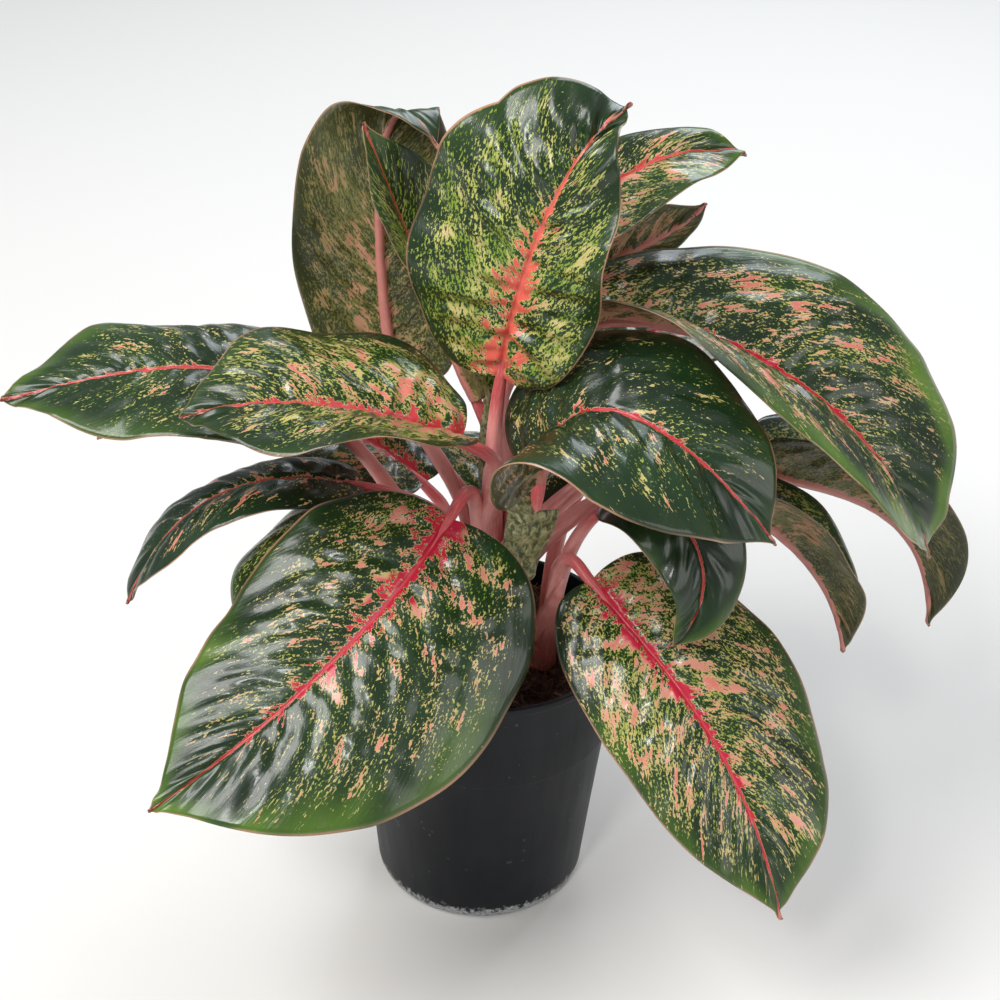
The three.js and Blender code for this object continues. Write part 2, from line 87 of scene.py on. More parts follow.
def finish(name, **values):
    """A new material: its node tree and its Principled shader, with plain values set."""
    look = bpy.data.materials.new(name)
    look.use_nodes = True
    shader = look.node_tree.nodes["Principled BSDF"]
    for key, value in values.items():
        shader.inputs[key.replace("_", " ")].default_value = value
    return look, look.node_tree, shader


floor_look, _, _ = finish("pale floor", Base_Color=(0.78, 0.765, 0.74, 1), Roughness=0.7)
floor_mesh = bpy.data.meshes.new("floor")
reach = 30.0
floor_mesh.from_pydata(
    [(-reach, -reach, 0), (reach, -reach, 0), (reach, reach, 0), (-reach, reach, 0)],
    [], [(0, 1, 2, 3)])
floor_mesh.materials.append(floor_look)
floor = bpy.data.objects.new("floor", floor_mesh)
bpy.context.collection.objects.link(floor)
floor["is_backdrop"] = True

for name, place, aim, width, power, warmth in (
        ("window", (-0.9, -0.5, 1.5), (0, 0, 0.2), 0.9, 31, (1, 0.985, 0.96)),
        ("sky", (0.5, 1.3, 1.5), (0, 0, 0.25), 1.2, 28, (0.88, 0.94, 1)),
        ("glint", (-0.55, -1.5, 1.75), (0, 0, 0.3), 0.3, 12, (1, 1, 1)),
        ("fill", (1.3, -1.0, 0.8), (0, 0, 0.2), 1.0, 9, (1, 0.97, 0.94))):
    lamp = bpy.data.lights.new(name, "AREA")
    lamp.shape, lamp.size = "SQUARE", width
    lamp.energy, lamp.color = power, warmth
    light = bpy.data.objects.new(name, lamp)
    light.location = place
    away = light.location - type(light.location)(aim)
    light.rotation_euler = away.to_track_quat("Z", "Y").to_euler()
    bpy.context.collection.objects.link(light)

world = bpy.data.worlds.new("studio")
bpy.context.scene.world = world
world.use_nodes = True
world.node_tree.nodes["Background"].inputs["Color"].default_value = (0.93, 0.96, 1, 1)
world.node_tree.nodes["Background"].inputs["Strength"].default_value = 0.45


# Pot: a thin black nursery pot, blown in one piece, with a wider band under its rim, a
# rounded foot that has a worn crust of lime, and six drain holes in its raised floor.
def rounded(corners, radius, steps=4):
    """Each corner of a profile becomes a short arc: a quadratic curve drawn towards the
    corner, from a radius before it to a radius after it, as far as its sides allow."""
    corners = np.array(corners, float)
    middle = corners[1:-1]
    arcs = []
    for other in (corners[:-2], corners[2:]):
        side = other - middle
        length = np.linalg.norm(side, axis=1, keepdims=True)
        arcs.append(middle + side / length * np.minimum(radius, 0.45 * length))
    t = np.linspace(0, 1, steps)[None, :, None]
    bends = arcs[0][:, None] * (1 - t) ** 2 + 2 * t * (1 - t) * middle[:, None] + t * t * arcs[1][:, None]
    return np.vstack([corners[:1], bends.reshape(-1, 2), corners[-1:]])


def grid_faces(rows, columns, start=0, around=False):
    """Quads between neighbours of a grid: row by row, each from its own corner to the
    next column, up a row and back. Around joins the last column to the first."""
    i, j = np.meshgrid(np.arange(rows - 1), np.arange(columns - (not around)), indexing="ij")
    k = (j + 1) % columns
    quads = np.stack([i * columns + j, i * columns + k, (i + 1) * columns + k, (i + 1) * columns + j], -1)
    return quads.reshape(-1, 4) + start


def ring_faces(count, sides, outward=1):
    """The faces round a count of rings of points, and a fan at each end, to one of the two
    points that follow the rings. Outward is -1 where the rings turn the other way."""
    j = np.arange(sides)
    k = (j + 1) % sides
    end = (count - 1) * sides
    first = np.stack([np.full(sides, end + sides), k, j], -1)
    last = np.stack([np.full(sides, end + sides + 1), end + j, end + k], -1)
    groups = (grid_faces(count, sides, around=True), first, last)
    return [face for group in groups for face in group[:, ::outward].tolist()]


def turned(profile, sides):
    """A profile of radius and height carried once round the pot's axis: x is radius times
    cosine, y radius times sine. Its two ends lie on the axis, as one point each."""
    turn = np.linspace(0, 2 * np.pi, sides, endpoint=False)
    r, z = profile[1:-1, 0][:, None], profile[1:-1, 1][:, None]
    rings = np.stack([r * np.cos(turn), r * np.sin(turn), z + 0 * turn], -1)
    points = np.vstack([rings.reshape(-1, 3), [[0, 0, profile[0, 1]], [0, 0, profile[-1, 1]]]])
    return points, ring_faces(len(rings), sides)


def joined(parts):
    """Several meshes, each its points and its faces, as one mesh."""
    faces, count = [], 0
    for part_points, part_faces in parts:
        faces += [[corner + count for corner in face] for face in part_faces]
        count += len(part_points)
    return np.vstack([part_points for part_points, _ in parts]), faces


def carried(tree, name, kind="Fac"):
    """A field of numbers that a mesh carries at its points."""
    return node(tree, "Attribute", attribute_name=name).outputs[kind]


def bumped(tree, shader, height, strength, distance):
    """Makes a finish uneven by a height, as strongly and as deep as given."""
    inputs = {"Height": height, "Strength": strength, "Distance": distance}
    tree.links.new(node(tree, "Bump", inputs).outputs[0], shader.inputs["Normal"])


def piece(name, points, faces, look, nodes=(), fields=()):
    """A smooth mesh at the origin from points in millimetres, with fields of numbers at
    its points. It rides on the one body and stands for the nodes it is given."""
    mesh = bpy.data.meshes.new(name)
    mesh.from_pydata((np.asarray(points).reshape(-1, 3) * 0.001).tolist(), [], faces)
    mesh.shade_smooth()
    mesh.materials.append(look)
    for key, values in dict(fields).items():
        values = np.asarray(values, np.float32)
        vector = values.ndim > 1
        field = mesh.attributes.new(key, "FLOAT_VECTOR" if vector else "FLOAT", "POINT")
        field.data.foreach_set("vector" if vector else "value", values.ravel())
    made = bpy.data.objects.new(name, mesh)
    bpy.context.collection.objects.link(made)
    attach(made, "root")
    if nodes:
        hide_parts(*nodes)
    return made


def calc(tree, operation, *values):
    """The result of a Math node on sockets or numbers."""
    return node(tree, "Math", enumerate(values), operation=operation).outputs[0]


def plus(tree, *values):
    """The sum of all the values."""
    total = values[0]
    for value in values[1:]:
        total = calc(tree, "ADD", total, value)
    return total


def times(tree, *values):
    """The product of all the values."""
    total = values[0]
    for value in values[1:]:
        total = calc(tree, "MULTIPLY", total, value)
    return total


def fade(tree, value, low, high):
    """0 up to low, 1 from high on, and smooth between them. Low may be the greater, and
    the value then counts downwards."""
    inputs = {"Value": value, "From Min": low, "From Max": high}
    return node(tree, "MapRange", inputs, interpolation_type="SMOOTHSTEP").outputs[0]


def tint(tree, share, first, second):
    """The first colour turned into the second by a share."""
    return node(tree, "Mix", {0: share, 6: first, 7: second}, data_type="RGBA").outputs[2]


def grain(tree, place, scale, detail=2.0, rough=0.5, warp=0.0):
    """Soft noise between 0 and 1 over a place, by its scale."""
    inputs = {"Vector": place, "Scale": scale, "Detail": detail, "Roughness": rough, "Distortion": warp}
    return node(tree, "TexNoise", inputs).outputs["Fac"]


pot_height, rim, band, band_foot, foot, wall = 130, 60, 57.4, 86, 48, 1.5
pot_corners = [
    (0, 0), (11, 0), (12, 1.6), (38, 1.6), (39, 0), (44, 0), (foot - 1.2, 1.2), (foot, 4),
    (51.4, 40), (band - 1.4, band_foot - 1), (band, band_foot), (58.2, 104), (rim - 0.8, 126),
    (rim, 126.8), (rim, pot_height), (rim - wall - 0.8, pot_height),
    (band - wall - 0.7, band_foot + 1), (foot - wall, 6), (foot - wall - 2, 4), (0, 4)]
pot_points, pot_faces = turned(rounded(pot_corners, 0.4), 180)
radius = np.hypot(pot_points[:, 0], pot_points[:, 1])
turn = np.arctan2(pot_points[:, 1], pot_points[:, 0])
slack = 0.16 * np.sin(2 * turn + 0.7) + 0.09 * np.sin(5 * turn + 0.03 * pot_points[:, 2])
pull = 1 + slack / 55 * np.clip(pot_points[:, 2] / pot_height, 0, 1)
pot_points[:, :2] *= pull[:, None]

pot_look, tree, shader = finish("black pot plastic", IOR=1.32)
here = node(tree, "TexCoord").outputs["Object"]
height = node(tree, "SeparateXYZ", {0: here}).outputs["Z"]
clouds = grain(tree, here, 38, 4, 0.6)
fine = grain(tree, here, 900, 2, 0.6)
streaked = node(tree, "Mapping", {"Vector": here, "Scale": (1, 1, 0.12)}).outputs[0]
wiped = grain(tree, streaked, 160, 3, 0.6)
low = fade(tree, height, 0.013, 0.0)
grit = plus(tree, grain(tree, here, 420, 4, 0.7), times(tree, low, 0.48))
crust = times(tree, fade(tree, grit, 0.70, 0.92), fade(tree, low, 0.05, 0.6))
crust = times(tree, crust, fade(tree, grain(tree, here, 1300, 3, 0.7), 0.22, 0.55))
nicks = fade(tree, grain(tree, here, 260, 1, 0.4), 0.735, 0.76)
dust = times(tree, fade(tree, clouds, 0.42, 0.75), 0.6)
black = tint(tree, dust, (0.0040, 0.0054, 0.0082, 1), (0.0095, 0.0115, 0.0160, 1))
black = tint(tree, times(tree, nicks, 0.35), black, (0.10, 0.105, 0.11, 1))
tree.links.new(tint(tree, crust, black, (0.46, 0.47, 0.47, 1)), shader.inputs["Base Color"])
gloss = plus(tree, 0.34, times(tree, wiped, 0.24))
tree.links.new(plus(tree, gloss, times(tree, crust, 0.4)), shader.inputs["Roughness"])
relief = plus(tree, times(tree, fine, 0.25), times(tree, crust, 1.5))
bumped(tree, shader, relief, 0.5, 0.0003)

pot = piece("nursery_pot", pot_points, pot_faces, pot_look, ["pot"])
hole_radius, holes_circle = 4.5, 27
hole_profile = np.array([(0, -3), (hole_radius, -3), (hole_radius, 8), (0, 8)], float)
hole_points, hole_faces = turned(hole_profile, 32)
bores = []
for turn in np.arange(6) * np.pi / 3 + np.pi / 6:
    bores.append((hole_points + [holes_circle * np.cos(turn), holes_circle * np.sin(turn), 0], hole_faces))
drill_points, drill_faces = joined(bores)
drill = bpy.data.meshes.new("drill")
drill.from_pydata((drill_points * 0.001).tolist(), [], drill_faces)
drills = bpy.data.objects.new("drill", drill)
bpy.context.collection.objects.link(drills)
cut = pot.modifiers.new("drain holes", "BOOLEAN")
cut.operation, cut.solver, cut.object = "DIFFERENCE", "EXACT", drills
drilled = bpy.data.meshes.new_from_object(pot.evaluated_get(bpy.context.evaluated_depsgraph_get()))
pot.modifiers.clear()
pot.data = drilled
bpy.data.objects.remove(drills)


# Soil: a loose mix of coir and shredded bark, dark and a little damp, filled to 13 mm
# under the rim. The lumps are the surface itself; chips and curly fibres lie on it.
chance = np.random.default_rng(7)
soil_top, soil_floor, litter_reach = 117.0, 4.3, 55.5


def soil_edge(z):
    """The soil's radius at a height: just inside the pot's sloping wall."""
    return 45.2 + 0.0976 * (z - soil_floor)


def lumps(x, y, size, seed):
    """A fifth of the sum of eleven sine waves in chance directions, each about size long:
    mostly between -1 and 1."""
    draw = np.random.default_rng(seed)
    ways = draw.uniform(0, 2 * np.pi, 11)
    total = 0
    for way, stretch, phase in zip(ways, draw.uniform(0.7, 1.5, 11), draw.uniform(0, 6.3, 11)):
        total = total + np.sin(2 * np.pi / (size * stretch) * (x * np.cos(way) + y * np.sin(way)) + phase)
    return total / 5


def soil_height(x, y):
    """The level, lowered and raised by broad lumps that fade at the wall, with clods of
    about seven and crumbs of about two millimetres on them."""
    inside = np.clip((soil_edge(soil_top) - np.hypot(x, y)) / 6, 0, 1)
    broad = np.sin(0.31 * x + 1.1) * np.cos(0.27 * y) + 0.6 * np.sin(0.53 * x - 0.61 * y)
    small = 1.1 * np.abs(lumps(x, y, 7, 3)) + 0.5 * np.abs(lumps(x, y, 2.4, 4))
    return soil_top + 1.6 * inside * broad + small


soil_rings = np.linspace(1, 0, 75)[:-1] ** 0.8 * soil_edge(soil_top)
soil_profile = np.vstack([
    [(0, soil_floor), (soil_edge(soil_floor) - 2, soil_floor), (soil_edge(7), 7), (soil_edge(60), 60)],
    np.stack([soil_rings, np.full(len(soil_rings), soil_top)], -1), [(0, soil_top)]])
soil_points, soil_faces = turned(soil_profile, 220)
crown = soil_points[:, 2] > soil_top - 1
soil_points[crown, 2] = soil_height(soil_points[crown, 0], soil_points[crown, 1])

soil_look, tree, shader = finish("dark coir soil", Roughness=0.92)
here = node(tree, "TexCoord").outputs["Object"]
crumb = grain(tree, here, 700, 4, 0.65)
patch = grain(tree, here, 60, 3, 0.5)
earth = tint(tree, patch, (0.026, 0.014, 0.010, 1), (0.075, 0.038, 0.025, 1))
earth = tint(tree, fade(tree, crumb, 0.52, 0.74), earth, (0.17, 0.095, 0.060, 1))
tree.links.new(earth, shader.inputs["Base Color"])
bumped(tree, shader, crumb, 0.9, 0.0009)
piece("soil_body", soil_points, soil_faces, soil_look, ["soil"])


def turns_of(count, tilt):
    """Chance turns, each three right-angled axes: a heading, tilted, and rolled."""
    yaw = chance.uniform(0, 6.3, count)
    pitch = chance.normal(0, tilt, count)
    roll = chance.normal(0, 0.6, count)
    ahead = np.stack([np.cos(yaw) * np.cos(pitch), np.sin(yaw) * np.cos(pitch), np.sin(pitch)], -1)
    flat = np.stack([-np.sin(yaw), np.cos(yaw), 0 * yaw], -1)
    up = np.cross(ahead, flat)
    across = flat * np.cos(roll)[:, None] + up * np.sin(roll)[:, None]
    return np.stack([ahead, across, np.cross(ahead, across)], 1)


def strewn(count):
    """Chance places on the soil, even over its area, at the height of its surface."""
    r = litter_reach * np.sqrt(chance.uniform(0, 1, count))
    turn = chance.uniform(0, 2 * np.pi, count)
    x, y = r * np.cos(turn), r * np.sin(turn)
    return np.stack([x, y, soil_height(x, y)], -1)


chip_look, tree, shader = finish("bark chips and fibres", Roughness=0.85)
tone = carried(tree, "tone")
here = node(tree, "TexCoord").outputs["Object"]
rind = tint(tree, fade(tree, tone, 0.0, 1.0), (0.045, 0.020, 0.014, 1), (0.36, 0.20, 0.125, 1))
rind = tint(tree, grain(tree, here, 1500, 3, 0.6), rind, (0.05, 0.028, 0.02, 1))
tree.links.new(rind, shader.inputs["Base Color"])

# Chips: eight corners each, a flat sliver whose corners are pushed out of true.
chips = 950
corners = np.array([(x, y, z) for z in (-1, 1) for y in (-1, 1) for x in (-1, 1)], float)
sizes = chance.uniform((1.0, 0.4, 0.15), (3.6, 1.2, 0.4), (chips, 3))
shapes = (corners + chance.normal(0, 0.22, (chips, 8, 3))) * sizes[:, None]
chip_points = np.einsum("nij,njk->nik", shapes, turns_of(chips, 0.3))
chip_points = chip_points + strewn(chips)[:, None] + [0, 0, 0.3]
box_faces = np.array([(0, 2, 3, 1), (4, 5, 7, 6), (0, 1, 5, 4), (2, 6, 7, 3), (0, 4, 6, 2), (1, 3, 7, 5)])
chip_faces = (box_faces + 8 * np.arange(chips)[:, None, None]).reshape(-1, 4)
chip_tone = np.repeat(chance.uniform(0, 1, chips) ** 2.2, 8)
piece("soil_chips", chip_points, chip_faces.tolist(), chip_look, fields={"tone": chip_tone})

# Fibres: thin curls, each a bent arc with a four-sided section that narrows to its ends.
fibres, steps = 420, 9
t = np.linspace(-1, 1, steps)[None, :, None]
curl = chance.uniform(0.4, 2.6, fibres)[:, None, None]
size = chance.uniform(2.5, 7.0, fibres)[:, None, None]
axes = turns_of(fibres, 0.35)
ahead, across, above = (axes[:, None, k] for k in range(3))
arc = size / curl * (np.sin(curl * t) * ahead + (1 - np.cos(curl * t)) * across)
arc = arc + above * chance.normal(0, 0.5, (fibres, 1, 1)) * t + strewn(fibres)[:, None] + [0, 0, 0.5]
out = -np.sin(curl * t) * ahead + np.cos(curl * t) * across
thick = chance.uniform(0.12, 0.3, fibres)[:, None, None] * np.sqrt(1.02 - t * t)
quarter = (np.arange(4) * np.pi / 2)[:, None]
around = np.cos(quarter) * out[:, :, None] + np.sin(quarter) * above[:, :, None]
rods = arc[:, :, None] + thick[:, :, None] * around
rod_faces = grid_faces(steps, 4, around=True)
rod_faces = np.vstack([rod_faces, [(3, 2, 1, 0), tuple(4 * steps - 4 + np.arange(4))]])
fibre_faces = (rod_faces + 4 * steps * np.arange(fibres)[:, None, None]).reshape(-1, 4)
fibre_tone = np.repeat(chance.uniform(0.1, 1, fibres), 4 * steps)
piece("soil_fibres", rods, fibre_faces.tolist(), chip_look, fields={"tone": fibre_tone})


# Leaf blades: twenty-one glossy, slightly quilted blades, dark green and flecked along
# their side veins, first yellow-green, then cream, then salmon, with a red midrib. Each
# grows on from the end of its own stalk.

# A blade gives four points on its midrib, the way its upper face looks, its half width,
# and for its left and right half the share of that width, the fold up and the curl down.
# Its look is: how dense the flecks and the blotches are, the share of blotches that are
# salmon inside, how far the red feathers out from the midrib in millimetres, how yellow
# the green is, how coral the red, how lime the margin, and half the midrib's width.
# Egg says how much broader it is near the neck than near the tip, wave and waves how
# high and how many the waves of its margins are, pucker how strong its small dents are,
# ripple how uneven its outline is, and sway how far its halves bend in and out. What a
# blade doesn't give is as usual.
leaves = [
    dict(name="crown_front", shoot="shoot_main", start=[1, -8, 184],
         rib=[[3, -14, 265], [10, -19, 308], [25, -18, 351], [49, -2, 376]],
         face=[[-0.35, -0.95, 0.3], [-0.3, -0.85, 0.5], [-0.2, -0.5, 0.8]],
         half=47, egg=0.05,
         wide=[[0.95, 0.85], [1, 0.8], [1.08, 0.72], [1.12, 0.62], [1.95, 0.5], [3.2, 0.35]],
         fold=[[16, 14]], curl=[[20, 20]], wave=3.5, waves=4,
         look=(0.69, 0.48, 0.1, 10, 0.4, 0.9, 0.1, 1.3), pucker=1.4, ripple=0.03),
    dict(name="back_left", shoot="shoot_main", start=[-6, 6, 176],
         rib=[[-39, 38, 223], [-48, 49, 270], [-47, 47, 338], [-23, 24, 344]],
         face=[[0.3, 0.95, 0], [0.2, 0.95, 0.2], [0.3, -0.2, 0.95]],
         half=38, egg=0.1, wide=[[1, 1.08], [1, 0.98], [0.9, 0.5]],
         fold=[[8, 8]], curl=[[10, 30]],
         look=(0.58, 0.42, 0.3, 3, 0.8, 0.7, 0, 1.8)),
    dict(name="young", shoot="shoot_main", start=[0, 3, 184],
         rib=[[-7, 18, 236], [-24, 26, 273], [-40, 27, 315], [-54, 24, 355]],
         face=[[0.5, -0.8, 0.3], [0.4, -0.8, 0.4]],
         half=34, wide=[[0.4, 0.45], [0.6, 0.9], [0.7, 1]],
         fold=[[90, 30], [65, 20], [20, 10]], curl=[[30, 20]], wave=1, waves=2,
         look=(0.8, 0.44, 0.1, 2, 0.9, 0.9, 0.3, 1.0), pucker=0.3),
    dict(name="top_right", shoot="shoot_main", start=[6, 8, 184],
         rib=[[15, 46, 287], [46, 51, 320], [73, 59, 332], [103, 67, 329]],
         face=[[0, -0.5, 0.85], [0, -0.35, 0.95], [0, -0.5, 0.85]],
         half=29, egg=0.1, wide=[[0.7, 1]], fold=[[10, 15]], curl=[[30, 0]],
         look=(0.66, 0.66, 0.8, 3, 0.5, 0.4, 0.6, 0.9), pucker=0.7),
    dict(name="top_right_low", shoot="shoot_main", start=[7, 9, 176],
         rib=[[28, 55, 269], [53, 62, 284], [73, 69, 293], [89, 74, 304]],
         face=[[-0.2, 0.95, 0.4]],
         half=21, fold=[[10, 10]], curl=[[10, 10]], wave=1, waves=2,
         look=(0.5, 0.5, 0.4, 2, 0.3, 0.3, 0.2, 1.0), pucker=0.6),
    dict(name="right_arch", shoot="shoot_main", start=[7, 0, 188],
         rib=[[17, 18, 260], [69, 8, 279], [135, -12, 255], [186, -18, 186]],
         face=[[0, -0.4, 0.92], [0.1, -0.6, 0.8], [0.5, -0.6, 0.5]],
         half=62, egg=0.1, wide=[[0.4, 0.55], [0.78, 0.8], [1.2, 0.85], [1.8, 0.9]],
         fold=[[15, 80], [15, 55], [10, 35]], curl=[[40, 20]],
         look=(0.58, 0.58, 0.72, 3, 0.35, 0.0, 2.0, 2.4), pucker=0.7),
    dict(name="right_dark", shoot="shoot_main", start=[8, -9, 172],
         rib=[[20, -32, 228], [42, -50, 271], [78, -66, 261], [111, -74, 227]],
         face=[[-0.1, -0.35, 0.95], [0.1, -0.6, 0.8], [0.4, -0.7, 0.5]],
         half=50, wide=[[0.85, 0.86], [0.9, 1], [0.85, 1]],
         fold=[[15, 70], [10, 25], [10, 15]], curl=[[50, 10]],
         look=(0.46, 0.44, 0.4, 3, 0.1, 0.0, 0.1, 1.1), pucker=0.7),
    dict(name="right_hanging", shoot="shoot_right", start=[26, -8, 132],
         rib=[[50, -14, 207], [72, -30, 215], [88, -44, 194], [75, -56, 163]],
         face=[[0, -0.3, 0.95], [0.2, -0.7, 0.6], [0.4, -0.8, 0.3]],
         half=21, fold=[[20, 20]], curl=[[30, 30]],
         look=(0.22, 0.18, 0.2, 0.8, 0.3, 0.0, 0.4, 0.6)),
    dict(name="front_right", shoot="shoot_right", start=[26, -9, 124],
         rib=[[44, -22, 172], [71, -52, 155], [101, -82, 124], [126, -112, 68]],
         face=[[-0.1, -0.6, 0.8], [0.1, -0.7, 0.7], [0.3, -0.8, 0.5]],
         half=50, egg=0.15, wide=[[1, 0.78], [1, 0.78], [0.9, 0.82]],
         fold=[[8, 8]], curl=[[40, 40]],
         look=(0.67, 0.61, 0.9, 4, 0.3, 0, 0.6, 1.3)),
    dict(name="front_left", shoot="shoot_main", start=[-2, -7, 156],
         rib=[[-16, -28, 205], [-45, -66, 180], [-85, -100, 153], [-129, -124, 126]],
         face=[[0.2, -0.5, 0.85], [0, -0.6, 0.8], [-0.3, -0.6, 0.7]],
         half=62, wide=[[1, 0.85], [1.1, 0.82], [1, 0.84]],
         fold=[[10, 10]], curl=[[40, 40]],
         look=(0.51, 0.49, 0.7, 8, 0.3, 0, 0.9, 1.4)),
    dict(name="left_near", shoot="shoot_main", start=[-2, -6, 178],
         rib=[[-12, -24, 240], [-49, -34, 258], [-86, -42, 265], [-121, -46, 259]],
         face=[[0, -0.5, 0.85]],
         half=45, egg=0.1, wide=[[0.85, 1.05], [0.85, 1]],
         fold=[[65, 10], [40, 10], [20, 10]], curl=[[10, 50]], wave=3,
         look=(0.66, 0.58, 0.5, 5, 0.4, 0.3, 0.2, 0.9), pucker=0.8),
    dict(name="left_far", shoot="shoot_left", start=[-26, 14, 144],
         rib=[[-72, 18, 228], [-112, 10, 251], [-160, 4, 249], [-203, -2, 239]],
         face=[[0, -0.3, 0.95]],
         half=40, egg=0.1, wide=[[1.1, 1], [1, 1.05], [0.8, 1.1]],
         fold=[[10, 14]], curl=[[20, 60]], wave=3,
         look=(0.52, 0.46, 0.5, 2, 0.4, 0.2, 0.6, 1.0), pucker=0.6),
    dict(name="left_low", shoot="shoot_main", start=[-6, -3, 166],
         rib=[[-55, 4, 200], [-94, -2, 205], [-128, -10, 191], [-154, -20, 151]],
         face=[[0, -0.3, 0.95], [-0.3, -0.3, 0.9], [-0.6, -0.4, 0.6]],
         half=29, egg=0.1, wide=[[0.8, 1]], fold=[[20, 0]], curl=[[20, 70]], wave=1,
         look=(0.42, 0.52, 0.9, 0.5, 0, 0.2, 0, 0.1)),
    dict(name="left_behind", shoot="shoot_main", start=[-8, -6, 146],
         rib=[[-42, -19, 191], [-68, -29, 191], [-88, -41, 178], [-100, -53, 152]],
         face=[[0, -0.4, 0.9], [-0.4, -0.5, 0.8], [-0.6, -0.6, 0.5]],
         half=34, fold=[[10, 10]], curl=[[30, 60]], wave=1,
         look=(0.7, 0.4, 0.2, 2, 0.7, 0.3, 0.3, 0.9), pucker=0.1, ripple=0, sway=-0.5),
    dict(name="right_far", shoot="shoot_main", start=[8, 7, 158],
         rib=[[112, 40, 195], [152, 46, 180], [188, 46, 159], [206, 40, 110]],
         face=[[0, 0.2, 0.95], [0.3, 0.1, 0.9], [0.8, 0, 0.5]],
         half=34, fold=[[60, 65]], curl=[[20, 20]], wave=1,
         look=(0.64, 0.42, 0.4, 1.5, 0.5, 0.1, 0.3, 1.0), pucker=0.4),
    dict(name="right_low", shoot="shoot_main", start=[8, 3, 150],
         rib=[[106, 9, 194], [129, 11, 176], [149, 9, 152], [160, 4, 120]],
         face=[[0, 0.1, 0.95], [0.4, 0.1, 0.9], [0.8, 0, 0.4]],
         half=26, fold=[[50, 60]], curl=[[20, 30]], wave=1,
         look=(0.62, 0.44, 0.6, 1.5, 0.4, 0.1, 0.2, 1.0), pucker=0.4),
    dict(name="rear_high", shoot="shoot_main", start=[1, 8, 168],
         rib=[[2, 50, 236], [-4, 90, 266], [-16, 128, 268], [-30, 160, 244]],
         face=[[0, 0.3, 0.95], [0, 0.5, 0.85]],
         half=44, look=(0.55, 0.52, 0.6, 5, 0.4, 0.1, 0.4, 1.2)),
    dict(name="rear_right", shoot="shoot_main", start=[9, 7, 168],
         rib=[[32, 32, 224], [68, 62, 246], [100, 92, 244], [128, 118, 216]],
         face=[[0.1, 0.3, 0.95], [0.3, 0.5, 0.85]],
         half=40, look=(0.5, 0.55, 0.7, 5, 0.3, 0.0, 0.4, 1.2)),
    dict(name="rear_left", shoot="shoot_left", start=[-24, 10, 140],
         rib=[[-30, 44, 178], [-77, 60, 200], [-130, 62, 204], [-177, 50, 191]],
         face=[[-0.1, 0.2, 0.95], [-0.4, 0.2, 0.85]],
         half=34, fold=[[0, 25]], curl=[[35, 35]],
         look=(0.5, 0.5, 0.5, 4, 0.4, 0.1, 0.4, 1.2)),
    dict(name="rear_low_right", shoot="shoot_right", start=[27, -4, 128],
         rib=[[44, 50, 180], [72, 84, 196], [98, 116, 184], [118, 140, 150]],
         face=[[0.1, 0.2, 0.95], [0.4, 0.4, 0.8]],
         half=38, look=(0.6, 0.62, 0.8, 5, 0.4, 0.1, 0.4, 1.2)),
    dict(name="rear_low", shoot="shoot_main", start=[-2, 8, 138],
         rib=[[8, 44, 166], [6, 82, 174], [2, 120, 156], [-4, 146, 116]],
         face=[[0, 0.2, 0.95], [0, 0.7, 0.7]],
         half=34, look=(0.5, 0.48, 0.5, 4, 0.3, 0.2, 0.4, 1.1))
]
usual = dict(egg=0.3, wide=[[1, 1]], fold=[[15, 15]], curl=[[35, 35]],
             wave=2, waves=3, pucker=0.5, ripple=0.015, sway=1)
skin, tip_width, neck, rib_height = 0.7, 0.28, 8.0, 2.3


def along(values, part):
    """Values spaced evenly from the start of a line (0) to its end (1), between them by
    straight lines."""
    values = np.asarray(values, float)
    if len(values) == 1:
        values = np.vstack([values, values])
    place = np.clip(part, 0, 1) * (len(values) - 1)
    first = np.minimum(place.astype(int), len(values) - 2)
    return values[first] + (values[first + 1] - values[first]) * (place - first)[..., None]


def unit(vectors):
    """Vectors brought to length one."""
    return vectors / np.maximum(np.linalg.norm(vectors, axis=-1, keepdims=True), 1e-9)


def distances(line):
    """The distance run from a line's start at each of its points."""
    return np.concatenate([[0], np.cumsum(np.linalg.norm(np.diff(line, axis=0), axis=1))])


def cubic(a, b, c, d, t):
    """The curve from a to d, drawn towards b and then c: a, b, c and d weighed by the
    four terms of ((1 - t) + t) cubed."""
    return (1 - t) ** 3 * a + 3 * (1 - t) ** 2 * t * b + 3 * (1 - t) * t * t * c + t ** 3 * d


def rib_line(rib):
    """The cubic curve that passes through four points at its ends and thirds, as points
    and headings at even steps of its parameter, with the distance run at each."""
    a, b, c, d = np.array(rib, float)
    one, two = (-5 * a + 18 * b - 9 * c + 2 * d) / 6, (2 * a - 9 * b + 18 * c - 5 * d) / 6
    t = np.linspace(0, 1, 300)[:, None]
    line = cubic(a, one, two, d, t)
    way = 3 * (1 - t) ** 2 * (one - a) + 6 * (1 - t) * t * (two - one) + 3 * t * t * (d - two)
    return distances(line), line, unit(way)


def rib_frame(leaf, distance):
    """The point of the midrib at a distance from the neck, and the directions along it,
    out of the upper face and to its right. Before the neck it runs on straight."""
    run, line, way = leaf["line"]
    held = np.clip(distance, 0, run[-1])
    point = np.stack([np.interp(held, run, line[:, k]) for k in range(3)], -1)
    forward = unit(np.stack([np.interp(held, run, way[:, k]) for k in range(3)], -1))
    point = point + forward * (distance - held)[..., None]
    up = along(leaf["face"], held / run[-1])
    up = unit(up - forward * (up * forward).sum(-1, keepdims=True))
    return point, forward, up, np.cross(forward, up)


